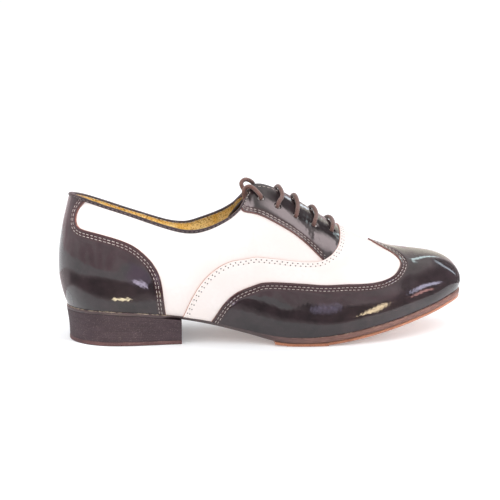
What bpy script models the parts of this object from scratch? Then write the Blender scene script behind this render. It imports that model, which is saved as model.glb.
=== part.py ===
"""Wingtip dance shoe for the right foot, as an assembly of named pieces.

The toe points along +X, the outer (lateral) side along -Y, and the sole stands on z = 0.
Every piece of the upper comes from one function: a section at a distance along the feather
edge, where upper meets sole, is a single cubic from that edge up to the top edge.
Sizes are in millimetres and become metres when a mesh is made.
"""
import bpy
import bmesh
import numpy as np
from mathutils import Matrix, Vector

MM = 0.001
ASSEMBLY = "wingtip_dance_shoe"
LATERAL, MEDIAL = -1, 1

# Sizes that grade the last: the tables are drawn for the sample sizes
SHOE_LENGTH, SAMPLE_LENGTH = 288.0, 288.0
BALL_WIDTH, SAMPLE_BALL = 95.6, 95.6
INSTEP_HEIGHT, SAMPLE_INSTEP = 104.0, 104.0
HEEL_HEIGHT, SAMPLE_HEEL = 23.8, 23.8
ORIGIN = np.array([0.4, 1.41, 0.0])      # middle of the finished shoe in the tables' frame

# Leather and sole
GAP = 0.3                                # clearance between pieces that meet
WALL = 2.0                               # lined upper
OVERLAY = 0.8                            # one layer of leather on the upper
OVERLAY_FOOT = 1.1                       # height of an overlay's lower edge above the sole
REAR_BUILD, FRONT_BUILD = 1.2, 2.3       # leather on top of the upper at heel and toe
REAR_END, FRONT_START = 90.0, 206.0      # where that build-up changes, along the feather edge
INSOLE, INSOLE_INSET = 2.2, 5.2
SOLE_MARGIN = 0.8                        # sole beyond the feather edge
SUEDE = 1.9
SUEDE_BACK = 0.6                         # x of the half sole's rear edge
FLAT_SPOT = (8.0, 36.0)                  # x of the forefoot's contact with the floor
HEEL_BREAST = -61.0                      # x of the heel's front face
HEEL_TAPER = 1.6                         # heel narrower at the floor
TOP_PIECE = 2.6
BINDING_DEPTH, BINDING_LEATHER, BINDING_END = 3.0, 0.6, 131.2
TONGUE, TONGUE_GAP = 1.6, 1.4
LACE, EYELET = 3.0, 4.2                  # diameters
LACE_LIFT = OVERLAY + 2 * GAP + LACE / 2 + 0.2
SUEDE_MARGIN = 0.4                       # half sole beyond the feather edge

# Sheets that the overlays are cut from: ends along the feather edge, and lowest share of a section
COUNTER_END, VAMP_START, WING_START = 104.0, 86.0, 104.0
EYESTAY_ENDS, EYESTAY_LOW = (124.0, 212.0), 0.35
EYESTAY_FRONT = 180.0                    # the eyestay ends at the vamp from here on
TONGUE_ENDS, TONGUE_LOW = (149.0, 224.0), 0.6

# Cutting forms: reach past a sheet's end, share of a section above and below, and lifts
CUT_REACH, CUT_ABOVE, CUT_BELOW = 8.0, 1.08, 0.2
CUT_LIFT, WING_CUT_LIFT = (-1.0, 4.0), (-1.5, 7.0)
PUNCH_REACH = 2.0                        # lace holes' punch past both faces

# Feather edge: distance along it from the heel back, x, and y on each side
FEATHER = np.array([
    # along,     x,  lateral, medial
    [0.0,   -138.0,   0.0,   0.0],
    [13.0,  -134.4, -12.2,  12.2],
    [26.0,  -126.0, -22.0,  22.0],
    [40.0,  -113.5, -28.8,  28.8],
    [58.0,   -96.0, -31.4,  31.0],
    [82.0,   -72.0, -30.8,  28.6],
    [112.0,  -42.0, -31.4,  23.0],
    [138.0,  -16.0, -36.6,  27.0],
    [162.0,    8.0, -43.8,  38.0],
    [184.0,   30.0, -46.4,  46.6],
    [206.0,   52.0, -44.8,  49.2],
    [228.0,   74.0, -40.2,  47.4],
    [249.0,   93.5, -33.4,  42.4],
    [266.0,  108.5, -27.0,  37.0],
    [280.2,  121.0, -20.4,  31.6],
    [292.4,  130.8, -13.4,  25.8],
    [303.3,  138.2,  -5.8,  19.0],
    [309.7,  141.5,   0.2,  13.6],
    [316.0,  142.5,   7.0,   7.0],
])
TOE = FEATHER[-1, 0]
THROAT_FRONT = 205.0                     # where the two facings meet

# Top edge of each section: collar, then facing edge, then the ridge over the toe
EDGE = np.array([
    # along,     x,     z, spread from the ridge, ridge y, medial drop
    [0.0,   -134.5, 100.4,  0.0, 0.0,  0.0],
    [13.0,  -130.9,  99.6, 11.3, 0.0,  0.6],
    [26.0,  -122.6,  97.4, 19.8, 0.0,  1.3],
    [40.0,  -110.8,  93.8, 25.2, 0.0,  2.0],
    [58.0,   -94.0,  88.4, 28.6, 0.0,  2.8],
    [82.0,   -71.5,  80.6, 31.4, 0.0,  2.6],
    [97.0,   -56.5,  77.2, 32.2, 0.0,  1.5],
    [112.0,  -41.5,  79.4, 31.4, 0.5, -0.3],
    [124.0,  -28.0,  85.6, 28.0, 1.0,  0.0],
    [133.0,  -19.5,  91.8, 22.0, 1.5,  0.0],
    [141.0,  -14.5,  98.6, 13.0, 2.0,  0.0],
    [148.0,   -9.5, 104.0,  5.0, 2.4,  0.0],
    [162.0,    6.0, 102.6,  3.8, 3.0,  0.0],
    [184.0,   29.0,  90.0,  3.0, 4.0,  0.0],
    [205.0,   51.0,  76.8,  0.0, 4.8,  0.0],
    [228.0,   74.5,  65.0,  0.0, 5.4,  0.0],
    [249.0,   94.0,  58.9,  0.0, 6.0,  0.0],
    [266.0,  110.5,  56.7,  0.0, 6.4,  0.0],
    [280.2,  124.5,  54.0,  0.0, 6.6,  0.0],
    [292.4,  135.3,  48.6,  0.0, 6.8,  0.0],
    [303.3,  142.4,  40.2,  0.0, 7.0,  0.0],
    [309.7,  144.0,  34.2,  0.0, 7.0,  0.0],
    [316.0,  142.5,  28.0,  0.0, 7.0,  0.0],
])

# Shape of each section: outward lean at the sole and fall at the top edge, in degrees,
# and how far each reaches along the section, as a share of its height
SECTION = np.array([
    # along, lateral lean, medial lean, wall reach, edge fall, edge reach
    [0.0,    22.0, 22.0, 0.36, 75.0, 0.36],
    [40.0,   16.0, 16.0, 0.36, 78.0, 0.36],
    [82.0,   12.0, 16.0, 0.36, 82.0, 0.36],
    [112.0,  12.0, 27.0, 0.36, 74.0, 0.36],
    [130.0,  11.0, 27.0, 0.35, 58.0, 0.34],
    [148.0,  10.0, 22.0, 0.34, 30.0, 0.30],
    [184.0,  11.0, 12.0, 0.34, 20.0, 0.29],
    [205.0,  12.0, 11.0, 0.35,  0.0, 0.32],
    [228.0,  13.0, 12.0, 0.36,  0.0, 0.36],
    [266.0,  15.0, 14.0, 0.40,  0.0, 0.42],
    [303.3,  20.0, 20.0, 0.40,  0.0, 0.40],
    [316.0,  20.0, 20.0, 0.39,  0.0, 0.39],
])

TIP_LEAN = np.radians(SECTION[-1, 1])    # the toe's face at the feather edge
BROW_TURN = (60.0, 120.0)                # along here the sections turn straight across at the top

# Height of the sole's top, and its thickness, along the shoe
SOLE = np.array([
    # x, top z, thickness
    [-140.0, 23.8, 2.2],
    [-110.0, 23.6, 2.2],
    [-75.0,  20.8, 2.2],
    [-42.0,  15.5, 2.8],
    [-19.0,  10.6, 3.4],
    [0.0,     7.0, 3.8],
    [14.0,    6.0, 3.8],
    [30.0,    6.2, 3.8],
    [52.0,    8.5, 3.8],
    [72.0,   11.9, 3.8],
    [93.5,   16.2, 3.8],
    [108.5,  19.8, 3.8],
    [121.0,  23.0, 3.8],
    [131.0,  25.6, 3.8],
    [143.5,  28.2, 3.8],
])

# Seams of the overlays on the section lines: share of the way up, and distance along
COUNTER_SEAM = np.array([
    # up, along
    [-0.05, 82.9], [0.0, 82.6], [0.15, 81.4], [0.24, 80.8], [0.33, 80.0], [0.42, 78.8],
    [0.503, 76.5], [0.579, 73.0], [0.645, 67.9], [0.682, 63.8], [0.706, 59.8], [0.72, 55.7],
    [0.729, 51.8], [0.735, 47.0], [0.74, 41.0], [0.745, 34.0], [0.75, 28.0], [0.757, 24.2],
    [0.771, 21.3], [0.806, 19.7], [0.848, 19.3], [0.893, 20.3], [0.944, 23.0], [1.0, 26.8],
    [1.05, 29.5],
])
WING_SEAM = np.array([
    # up, along
    [-0.05, 110.5], [0.0, 112.7], [0.047, 114.6], [0.178, 119.9], [0.256, 125.0], [0.296, 130.2],
    [0.309, 135.9], [0.314, 141.8], [0.318, 147.5], [0.325, 158.0], [0.332, 167.5], [0.339, 177.8],
    [0.3445, 188.5], [0.349, 199.2], [0.3575, 210.3], [0.376, 221.8], [0.394, 227.9], [0.427, 234.6],
    [0.464, 239.2], [0.51, 242.4], [0.561, 245.0], [0.616, 246.6], [0.674, 246.2], [0.736, 244.4],
    [0.795, 240.8], [0.85, 236.0], [0.92, 231.3], [1.0, 228.4],
])
VAMP_SEAM = np.array([
    # along, up
    [93.4, -0.05], [94.0, 0.0], [99.0, 0.2], [104.0, 0.362], [110.0, 0.49], [117.7, 0.572],
    [125.5, 0.585], [134.7, 0.541], [148.0, 0.462], [156.0, 0.452], [164.7, 0.456], [175.4, 0.471],
    [188.6, 0.509], [194.7, 0.551], [199.5, 0.613], [202.4, 0.691], [204.0, 0.77], [205.4, 0.88],
    [206.0, 1.0], [206.2, 1.06],
])
EYESTAY_SEAM = np.array([
    # along, up
    [132.0, 1.06], [132.7, 0.99], [134.2, 0.95], [139.9, 0.851], [145.3, 0.772], [149.9, 0.726],
    [157.2, 0.686], [164.3, 0.661], [171.8, 0.636], [179.5, 0.594], [183.2, 0.566], [186.8, 0.532],
    [189.0, 0.511], [192.0, 0.48], [210.0, 0.42],
])
EYELETS = np.array([
    # along, up, from the front pair to the top pair
    [199.0, 0.785], [186.5, 0.785], [174.0, 0.788], [162.0, 0.81], [152.0, 0.858],
])

# Lace bars between a pair of holes: each bar's lean toward the toe, from the front bar to the
# top one, and the line that every bar follows
BAR_LEAN = [1.5, 2.5, 3.0, 6.0]
BAR = [
    # side, share of the way from hole to facing edge, share of the lean
    (LATERAL, 0.0, 0.0), (LATERAL, 0.55, 1.0), (LATERAL, 0.95, 0.5),
    (MEDIAL, 0.9, 0.3), (MEDIAL, 0.5, 0.2), (MEDIAL, 0.0, 0.0),
]

# Tongue's free end: how far it runs back and drops past the facings
TONGUE_TOP = np.array([
    # back, down, from the lateral edge over the ridge to the medial edge
    [6.0, 1.0], [5.0, 1.5], [4.0, 2.0], [5.0, 2.0], [10.0, 2.0], [15.0, 1.5],
])

# Lace ends: from above the top eyelet over the facing and down inside the collar
LACE_ENDS = {
    # x, y, z
    "lace_end_lateral": [
        (-5.6, -13.2, 100.6), (-8.6, -9.6, 103.6), (-11.4, -6.6, 105.2), (-14.2, -4.8, 104.0),
        (-15.9, -4.2, 100.2), (-16.6, -4.0, 95.0), (-17.0, -4.0, 88.0), (-17.2, -4.0, 80.5),
    ],
    "lace_end_medial": [
        (-6.4, 18.0, 101.0), (-8.8, 14.6, 105.0), (-12.2, 10.6, 107.4), (-15.4, 7.4, 107.8),
        (-17.4, 5.0, 105.2), (-17.8, 3.4, 100.6), (-18.0, 2.6, 94.0), (-18.2, 2.2, 86.0),
    ],
}

# Mesh lines shared by every layer of the upper, so that the layers' facets stay parallel
STATIONS = np.unique(np.concatenate([
    np.linspace(0.0, 40.0, 7), np.linspace(40.0, 112.0, 7), np.linspace(112.0, 160.0, 11),
    np.linspace(160.0, THROAT_FRONT, 5), np.linspace(THROAT_FRONT, 250.0, 5),
    np.linspace(250.0, 304.0, 7), [309.7, TOE],
]))
ROWS = np.linspace(0.0, 1.0, 8)
END_STEP = 3.0                               # shortest mesh step at a cut end of the sole
OVERLAY_ROWS = np.append(0.012, ROWS[1:])    # overlays start just above the sole

COLOURS = {
    # piece: sRGB red, green, blue and roughness
    "upper": (0.93, 0.88, 0.85, 0.45),
    "vamp": (0.94, 0.89, 0.86, 0.45),
    "wingtip": (0.10, 0.07, 0.08, 0.12),
    "counter": (0.10, 0.07, 0.08, 0.12),
    "eyestay_lateral": (0.11, 0.08, 0.09, 0.12),
    "eyestay_medial": (0.11, 0.08, 0.09, 0.12),
    "collar_binding": (0.13, 0.09, 0.09, 0.4),
    "tongue": (0.14, 0.10, 0.10, 0.4),
    "insole": (0.73, 0.55, 0.27, 0.6),
    "outsole": (0.36, 0.25, 0.22, 0.55),
    "suede_sole": (0.78, 0.50, 0.34, 0.95),
    "heel_block": (0.27, 0.22, 0.22, 0.6),
    "heel_top_piece": (0.38, 0.27, 0.25, 0.8),
    "lace": (0.30, 0.22, 0.19, 0.75),
}


def grade(table, column_factors):
    """Scales a table's columns from the sample size to this shoe's size."""
    graded = table.copy()
    for column, factor in column_factors.items():
        graded[:, column] *= factor
    return graded


LENGTH_GRADE = SHOE_LENGTH / SAMPLE_LENGTH
WIDTH_GRADE = BALL_WIDTH / SAMPLE_BALL
HEIGHT_GRADE = INSTEP_HEIGHT / SAMPLE_INSTEP
HEEL_GRADE = HEEL_HEIGHT / SAMPLE_HEEL
FEATHER = grade(FEATHER, {1: LENGTH_GRADE, 2: WIDTH_GRADE, 3: WIDTH_GRADE})
EDGE = grade(EDGE, {1: LENGTH_GRADE, 2: HEIGHT_GRADE, 3: WIDTH_GRADE, 4: WIDTH_GRADE,
                    5: HEIGHT_GRADE})
SOLE = grade(SOLE, {0: LENGTH_GRADE, 1: HEEL_GRADE})


def spline(rows, values, at, start=None, end=None):
    """Cubic spline through table rows. start and end are slopes, or None for a free end."""
    count = len(rows)
    width = np.diff(rows)
    slope = np.diff(values) / width
    system = np.zeros((count, count))
    right = np.zeros(count)
    inner = np.arange(1, count - 1)
    system[inner, inner - 1] = width[:-1]
    system[inner, inner] = 2 * (width[:-1] + width[1:])
    system[inner, inner + 1] = width[1:]
    right[inner] = 6 * (slope[1:] - slope[:-1])
    system[0, 0] = 1
    system[-1, -1] = 1
    if start is not None:
        system[0, :2] = 2 * width[0], width[0]
        right[0] = 6 * (slope[0] - start)
    if end is not None:
        system[-1, -2:] = width[-1], 2 * width[-1]
        right[-1] = 6 * (end - slope[-1])
    bend = np.linalg.solve(system, right)
    k = np.clip(np.searchsorted(rows, at) - 1, 0, count - 2)
    after = at - rows[k]
    before = rows[k + 1] - at
    cubic = (bend[k] * before ** 3 + bend[k + 1] * after ** 3) / (6 * width[k])
    low = (values[k] / width[k] - bend[k] * width[k] / 6) * before
    high = (values[k + 1] / width[k] - bend[k + 1] * width[k] / 6) * after
    return cubic + low + high


def monotone(rows, values, at):
    """Cubic through table rows that never overshoots them."""
    width = np.diff(rows)
    slope = np.diff(values) / width
    turn = np.zeros(len(rows))
    same = slope[:-1] * slope[1:] > 0
    left = 2 * width[1:] + width[:-1]
    right = width[1:] + 2 * width[:-1]
    safe = np.where(same[:, None], np.stack([slope[:-1], slope[1:]], 1), 1.0)
    mean = (left + right) / (left / safe[:, 0] + right / safe[:, 1])
    turn[1:-1] = np.where(same, mean, 0.0)
    turn[0], turn[-1] = slope[0], slope[-1]
    k = np.clip(np.searchsorted(rows, at) - 1, 0, len(rows) - 2)
    t = (at - rows[k]) / width[k]
    start = values[k] * (1 + 2 * t) * (1 - t) ** 2 + turn[k] * width[k] * t * (1 - t) ** 2
    end = values[k + 1] * t * t * (3 - 2 * t) + turn[k + 1] * width[k] * t * t * (t - 1)
    return start + end


def ease(value, low, high):
    """0 below low, 1 above high, and a smooth step between."""
    t = np.clip((value - low) / (high - low), 0.0, 1.0)
    return t * t * (3 - 2 * t)


def unit(vectors):
    return vectors / np.linalg.norm(vectors, axis=-1, keepdims=True)


def sole_top(x):
    return spline(SOLE[:, 0], SOLE[:, 1], x)


def sole_bottom(x):
    """Underside of the outsole: its thickness below the top."""
    return sole_top(x) - monotone(SOLE[:, 0], SOLE[:, 2], x)


def feather(along, side):
    """Feather edge, where the upper's finished outside meets the sole."""
    x = spline(FEATHER[:, 0], FEATHER[:, 1], along, 0.0, 0.0)
    y = spline(FEATHER[:, 0], FEATHER[:, 2 if side == LATERAL else 3], along)
    return np.stack([x, y, sole_top(x)], -1)


def outward(along, side):
    """Level direction away from the shoe, square to the feather edge."""
    step = 0.2
    ahead = feather(np.minimum(along + step, TOE), side)
    behind = feather(np.maximum(along - step, 0.0), side)
    run = ahead - behind
    out = unit(np.stack([-side * run[..., 1], side * run[..., 0], 0 * along], -1))
    out[along <= 0] = (-1.0, 0.0, 0.0)
    out[along >= TOE] = (1.0, 0.0, 0.0)
    return out


def top_edge(along, side):
    x = spline(EDGE[:, 0], EDGE[:, 1], along, 0.0)
    z = spline(EDGE[:, 0], EDGE[:, 2], along, 0.0)
    if side == MEDIAL:
        z = z - monotone(EDGE[:, 0], EDGE[:, 5], along)
    spread = monotone(EDGE[:, 0], EDGE[:, 3], along)
    y = spline(EDGE[:, 0], EDGE[:, 4], along) + side * spread
    return np.stack([x, y, z], -1)


def controls(along, side):
    """The four points of each section's cubic: foot, wall, brow and top."""
    foot = feather(along, side)
    top = top_edge(along, side)
    out = outward(along, side)
    across = ease(along, *BROW_TURN)[..., None]
    brow_way = unit((1 - across) * out + across * np.array([0.0, side, 0.0]))
    rise = np.array([0.0, 0.0, 1.0])
    height = np.linalg.norm(top - foot, axis=-1)[..., None]

    def column(index):
        return monotone(SECTION[:, 0], SECTION[:, index], along)[..., None]

    lean = np.radians(column(1 if side == LATERAL else 2))
    fall = np.radians(column(4))
    wall = foot + height * column(3) * (np.sin(lean) * out + np.cos(lean) * rise)
    brow = top + height * column(5) * (np.cos(fall) * brow_way - np.sin(fall) * rise)
    return foot, wall, brow, top


def section_point(along, up, side):
    """Finished outside of the shoe: along the feather edge, and up from it (0) to the edge (1)."""
    foot, wall, brow, top = controls(along, side)
    t = up[..., None]
    return ((1 - t) ** 3 * foot + 3 * t * (1 - t) ** 2 * wall
            + 3 * t * t * (1 - t) * brow + t ** 3 * top)


def section_slope(along, up, side):
    foot, wall, brow, top = controls(along, side)
    t = up[..., None]
    return ((1 - t) ** 2 * (wall - foot) + 2 * t * (1 - t) * (brow - wall) + t * t * (top - brow))


def skin(along, up, side, lift):
    """Point on the upper's own outside, raised by lift along the surface's normal."""
    along, up = np.broadcast_arrays(np.asarray(along, float), np.asarray(up, float))
    step = 0.3
    safe = np.clip(along, 0.0, TOE - 2 * step)
    ahead = section_point(safe + step, up, side)
    behind = section_point(np.maximum(safe - step, 0.0), up, side)
    normal = unit(side * np.cross(section_slope(safe, up, side), ahead - behind))
    normal[along <= 0, 1] = 0.0
    normal[along >= TOE] = (np.cos(TIP_LEAN), 0.0, -np.sin(TIP_LEAN))
    normal = unit(normal)
    build = REAR_BUILD + (FRONT_BUILD - REAR_BUILD) * ease(along, REAR_END, FRONT_START)
    return section_point(along, up, side) + (lift - build)[..., None] * normal


def collection(name):
    group = bpy.data.collections.new(name)
    bpy.context.scene.collection.children.link(group)
    return group


def linear(channel):
    return channel / 12.92 if channel <= 0.04045 else ((channel + 0.055) / 1.055) ** 2.4


def finish(name):
    """Plain material of a piece, by its name or its family's name."""
    red, green, blue, roughness = COLOURS.get(name, COLOURS["lace"])
    material = bpy.data.materials.new(name)
    material.use_nodes = True
    shader = material.node_tree.nodes["Principled BSDF"]
    shader.inputs["Base Color"].default_value = (linear(red), linear(green), linear(blue), 1.0)
    shader.inputs["Roughness"].default_value = roughness
    return material


def add(name, mesh, group):
    """Links a mesh as a named object, with its material and smooth shading."""
    piece = bpy.data.objects.new(name, mesh)
    group.objects.link(piece)
    if group.name == ASSEMBLY:
        mesh.materials.append(finish(name))
        mesh.shade_smooth()
        mesh.set_sharp_from_angle(angle=np.radians(40.0))
    else:
        piece.hide_render = True
        piece.display_type = "WIRE"
    return piece


def grid_faces(rows, columns, closed=False):
    """Quads of a grid of points, rows by columns; closed joins the last column to the first."""
    faces = []
    for i in range(rows - 1):
        for j in range(columns if closed else columns - 1):
            k = (j + 1) % columns
            faces.append((i * columns + j, i * columns + k, (i + 1) * columns + k, (i + 1) * columns + j))
    return faces


def mesh_from(name, points, faces, closed=False):
    """Mesh in metres from points in millimetres, with doubled points welded.

    An open sheet's faces already point outward; a closed form's are turned outward here.
    """
    shape = bmesh.new()
    for point in np.asarray(points, float).reshape(-1, 3) - ORIGIN:
        shape.verts.new(point * MM)
    shape.verts.ensure_lookup_table()
    for face in faces:
        shape.faces.new([shape.verts[index] for index in face])
    bmesh.ops.remove_doubles(shape, verts=shape.verts, dist=0.00003)
    bmesh.ops.dissolve_degenerate(shape, edges=shape.edges, dist=0.00001)
    if closed:
        bmesh.ops.recalc_face_normals(shape, faces=shape.faces)
    mesh = bpy.data.meshes.new(name)
    shape.to_mesh(mesh)
    shape.free()
    return mesh


def rounds(stations):
    """Stations from the lateral side round the heel to the medial side: along and side."""
    lateral = [(along, LATERAL) for along in stations[::-1]]
    medial = [(along, MEDIAL) for along in stations if along > 0]
    return lateral + medial


def layer(stations, rows, lift, foot_gap=None, sides=(LATERAL, MEDIAL), trim=None):
    """Sheet of the upper over some stations and rows, on mesh lines that all layers share.

    The sides meet at the heel back, along the ridge and at the toe, where mesh_from welds them.
    Each cell is split along the same diagonal on every layer, so that facets stay parallel.
    foot_gap sets the lowest row that far above the sole, and trim gives the share of each
    section at which the rows end.
    """
    points, faces = [], []
    count = len(stations) * len(rows)
    for part_index, side in enumerate(sides):
        along, up = np.meshgrid(stations, rows, indexing="ij")
        if trim is not None:
            up = np.minimum(up, trim(along, side))
        grid = skin(along, up, side, lift)
        if foot_gap is not None:
            grid[:, 0, 2] = sole_top(grid[:, 0, 0]) + foot_gap
            grid[stations >= TOE] = grid[stations >= TOE, :1]
        points.append(grid.reshape(-1, 3))
        turn = 1 if side == MEDIAL else -1
        for a, b, c, d in grid_faces(*along.shape):
            start = part_index * count
            faces.append((start + a, start + b, start + c)[::turn])
            faces.append((start + a, start + c, start + d)[::turn])
    return np.concatenate(points), faces


def below_binding(along, side):
    """Share of a section that lies below the collar's binding."""
    length = np.linalg.norm(top_edge(along, side) - feather(along, side), axis=-1)
    return 1.0 - (BINDING_DEPTH + 2 * GAP) / length


def thicken(piece, thickness, inward):
    """Gives an open sheet its thickness."""
    modifier = piece.modifiers.new("thickness", "SOLIDIFY")
    modifier.thickness = thickness * MM
    modifier.offset = -1.0 if inward else 1.0
    modifier.use_even_offset = True
    modifier.use_rim = True
    return piece


def carve(piece, cutter, operation="DIFFERENCE"):
    modifier = piece.modifiers.new(cutter.name, "BOOLEAN")
    modifier.operation = operation
    modifier.solver = "EXACT"
    modifier.object = cutter
    return piece


def block(name, starts, ends, side, lift, group, steps=7):
    """Thick form on the upper's surface between two lines of (along, up) points, to cut with."""
    share = np.linspace(0.0, 1.0, steps)[:, None, None]
    plan = (1 - share) * np.asarray(starts, float) + share * np.asarray(ends, float)
    low, high = lift
    layers = [skin(plan[..., 0], plan[..., 1], side, height) for height in (low, high)]
    count = plan.shape[0] * plan.shape[1]
    rows, columns = plan.shape[:2]
    lower = grid_faces(rows, columns)
    upper = [tuple(index + count for index in face[::-1]) for face in lower]
    ring = [j for j in range(columns)]
    ring += [i * columns + columns - 1 for i in range(1, rows)]
    ring += [(rows - 1) * columns + j for j in range(columns - 2, -1, -1)]
    ring += [i * columns for i in range(rows - 2, 0, -1)]
    rim = []
    for here, there in zip(ring, ring[1:] + ring[:1]):
        rim.append((here, here + count, there + count, there))
    points = np.concatenate([heights.reshape(-1, 3) for heights in layers])
    return add(name, mesh_from(name, points, lower + upper + rim, closed=True), group)


def seam_line(table, count):
    """Evenly spaced points of a seam, read off a smooth curve through its rows."""
    fine = np.linspace(table[0, 0], table[-1, 0], 400)
    value = monotone(table[:, 0], table[:, 1], fine)
    step = np.hypot(np.diff(fine) / np.ptp(fine), np.diff(value) / np.ptp(value))
    travelled = np.concatenate([[0.0], np.cumsum(step)])
    even = np.interp(np.linspace(0.0, travelled[-1], count), travelled, fine)
    return even, monotone(table[:, 0], table[:, 1], even)


def make_upper(parts):
    mesh = mesh_from("upper", *layer(STATIONS, ROWS, 0.0, GAP))
    return thicken(add("upper", mesh, parts), WALL, inward=True)


def make_counter(parts, cutters):
    stations = STATIONS[STATIONS < COUNTER_END]
    mesh = mesh_from("counter", *layer(stations, OVERLAY_ROWS, GAP, OVERLAY_FOOT, trim=below_binding))
    piece = thicken(add("counter", mesh, parts), OVERLAY, inward=False)
    up, along = seam_line(COUNTER_SEAM, 26)
    starts = np.stack([along, up], 1)
    ends = np.stack([np.full_like(up, COUNTER_END + CUT_REACH), up], 1)
    for side, name in ((LATERAL, "counter_cut_lateral"), (MEDIAL, "counter_cut_medial")):
        carve(piece, block(name, starts, ends, side, CUT_LIFT, cutters))
    return piece


def make_vamp(parts, cutters):
    stations = STATIONS[STATIONS > VAMP_START]
    mesh = mesh_from("vamp", *layer(stations, OVERLAY_ROWS, GAP, OVERLAY_FOOT))
    piece = thicken(add("vamp", mesh, parts), OVERLAY, inward=False)
    along, up = seam_line(VAMP_SEAM, 34)
    along = np.concatenate([[VAMP_START - CUT_REACH], along])
    up = np.concatenate([up[:1], up])
    starts = np.stack([along, up], 1)
    ends = np.stack([along, np.full_like(up, CUT_ABOVE)], 1)
    for side, name in ((LATERAL, "vamp_cut_lateral"), (MEDIAL, "vamp_cut_medial")):
        carve(piece, block(name, starts, ends, side, CUT_LIFT, cutters))
    return piece


def make_wingtip(parts, cutters):
    stations = STATIONS[STATIONS > WING_START]
    mesh = mesh_from("wingtip", *layer(stations, OVERLAY_ROWS, 2 * GAP + OVERLAY, OVERLAY_FOOT))
    piece = thicken(add("wingtip", mesh, parts), OVERLAY, inward=False)
    up, along = seam_line(WING_SEAM, 34)
    up = np.append(up, CUT_ABOVE)
    along = np.append(along, along[-1])
    starts = np.stack([np.full_like(up, WING_START - CUT_REACH), up], 1)
    ends = np.stack([along, up], 1)
    for side, name in ((LATERAL, "wing_cut_lateral"), (MEDIAL, "wing_cut_medial")):
        carve(piece, block(name, starts, ends, side, WING_CUT_LIFT, cutters, steps=20))
    return piece


def make_eyestay(name, side, parts, cutters):
    first, last = EYESTAY_ENDS
    stations = STATIONS[(STATIONS > first) & (STATIONS < last)]
    mesh = mesh_from(name, *layer(stations, ROWS[ROWS > EYESTAY_LOW], GAP, sides=(side,)))
    piece = thicken(add(name, mesh, parts), OVERLAY, inward=False)
    along, up = seam_line(EYESTAY_SEAM, 22)
    along = np.append(first - CUT_REACH, along)
    up = np.append(up[0], up)
    starts = np.stack([along, np.full_like(up, CUT_BELOW)], 1)
    ends = np.stack([along, up], 1)
    carve(piece, block(name + "_seam_cut", starts, ends, side, CUT_LIFT, cutters))
    along, up = seam_line(VAMP_SEAM[VAMP_SEAM[:, 0] > EYESTAY_FRONT], 16)
    along = np.append(along[0], along)
    up = np.append(CUT_BELOW, up)
    starts = np.stack([along - 2 * GAP, up], 1)
    ends = np.stack([np.full_like(along, last + CUT_REACH), up], 1)
    carve(piece, block(name + "_front_cut", starts, ends, side, CUT_LIFT, cutters))
    return piece


def drill(name, side, group):
    """One punch for a side's lace holes, a short rod through upper and eyestay at each."""
    shape = bmesh.new()
    for along, up in EYELETS:
        low = skin(along, up, side, -WALL - PUNCH_REACH) - ORIGIN
        high = skin(along, up, side, OVERLAY + PUNCH_REACH) - ORIGIN
        axis = Vector(high - low).normalized()
        turn = axis.to_track_quat("Z", "Y").to_matrix().to_4x4()
        place = Matrix.Translation(Vector((low + high) / 2 * MM)) @ turn
        length = np.linalg.norm(high - low) * MM
        bmesh.ops.create_cone(shape, cap_ends=True, segments=10, radius1=EYELET / 2 * MM,
                              radius2=EYELET / 2 * MM, depth=length, matrix=place)
    mesh = bpy.data.meshes.new(name)
    shape.to_mesh(mesh)
    shape.free()
    return add(name, mesh, group)


def make_binding(parts):
    """Folded strip over the collar's edge: a channel profile carried round the collar."""
    stations = STATIONS[STATIONS < BINDING_END + GAP]
    inner = -WALL - 2 * GAP
    outer = 2 * GAP
    under = -4 * GAP
    over = under - BINDING_LEATHER
    profile = [  # depth below the edge, lift
        (BINDING_DEPTH, outer), (BINDING_DEPTH, outer + BINDING_LEATHER),
        (over, outer + BINDING_LEATHER), (over, inner - BINDING_LEATHER),
        (BINDING_DEPTH, inner - BINDING_LEATHER), (BINDING_DEPTH, inner), (under, inner), (under, outer),
    ]
    rings = []
    for along, side in rounds(stations):
        downward = unit(skin(along, ROWS[-2], side, 0.0) - skin(along, 1.0, side, 0.0))
        rings.append([skin(along, 1.0, side, lift) + depth * downward for depth, lift in profile])
    rings = np.array(rings)
    count, sides = rings.shape[:2]
    faces = grid_faces(count, sides, closed=True)
    faces.append(tuple(range(sides)))
    faces.append(tuple((count - 1) * sides + j for j in range(sides)))
    return add("collar_binding", mesh_from("collar_binding", rings, faces, closed=True), parts)


def make_tongue(parts):
    """Sheet under the facings, across the throat, and past their top on the medial side."""
    first, last = TONGUE_ENDS
    stations = STATIONS[(STATIONS > first) & (STATIONS < last)]
    rows = ROWS[ROWS > TONGUE_LOW]
    lines = []
    for along in stations:
        lateral = skin(along, rows, LATERAL, -WALL - TONGUE_GAP)
        medial = skin(along, rows[::-1], MEDIAL, -WALL - TONGUE_GAP)
        lines.append(np.concatenate([lateral, medial]))
    back, down = TONGUE_TOP.T
    free_end = lines[0] - np.stack([back, 0 * back, down], 1)
    points = np.array([free_end] + lines)[::-1]
    mesh = mesh_from("tongue", points, grid_faces(*points.shape[:2]))
    return thicken(add("tongue", mesh, parts), TONGUE, inward=True)


def outline(stations, margin, side):
    """Feather edge moved outward in plan by margin."""
    return feather(stations, side)[:, :2] + margin * outward(stations, side)[:, :2]


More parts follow.
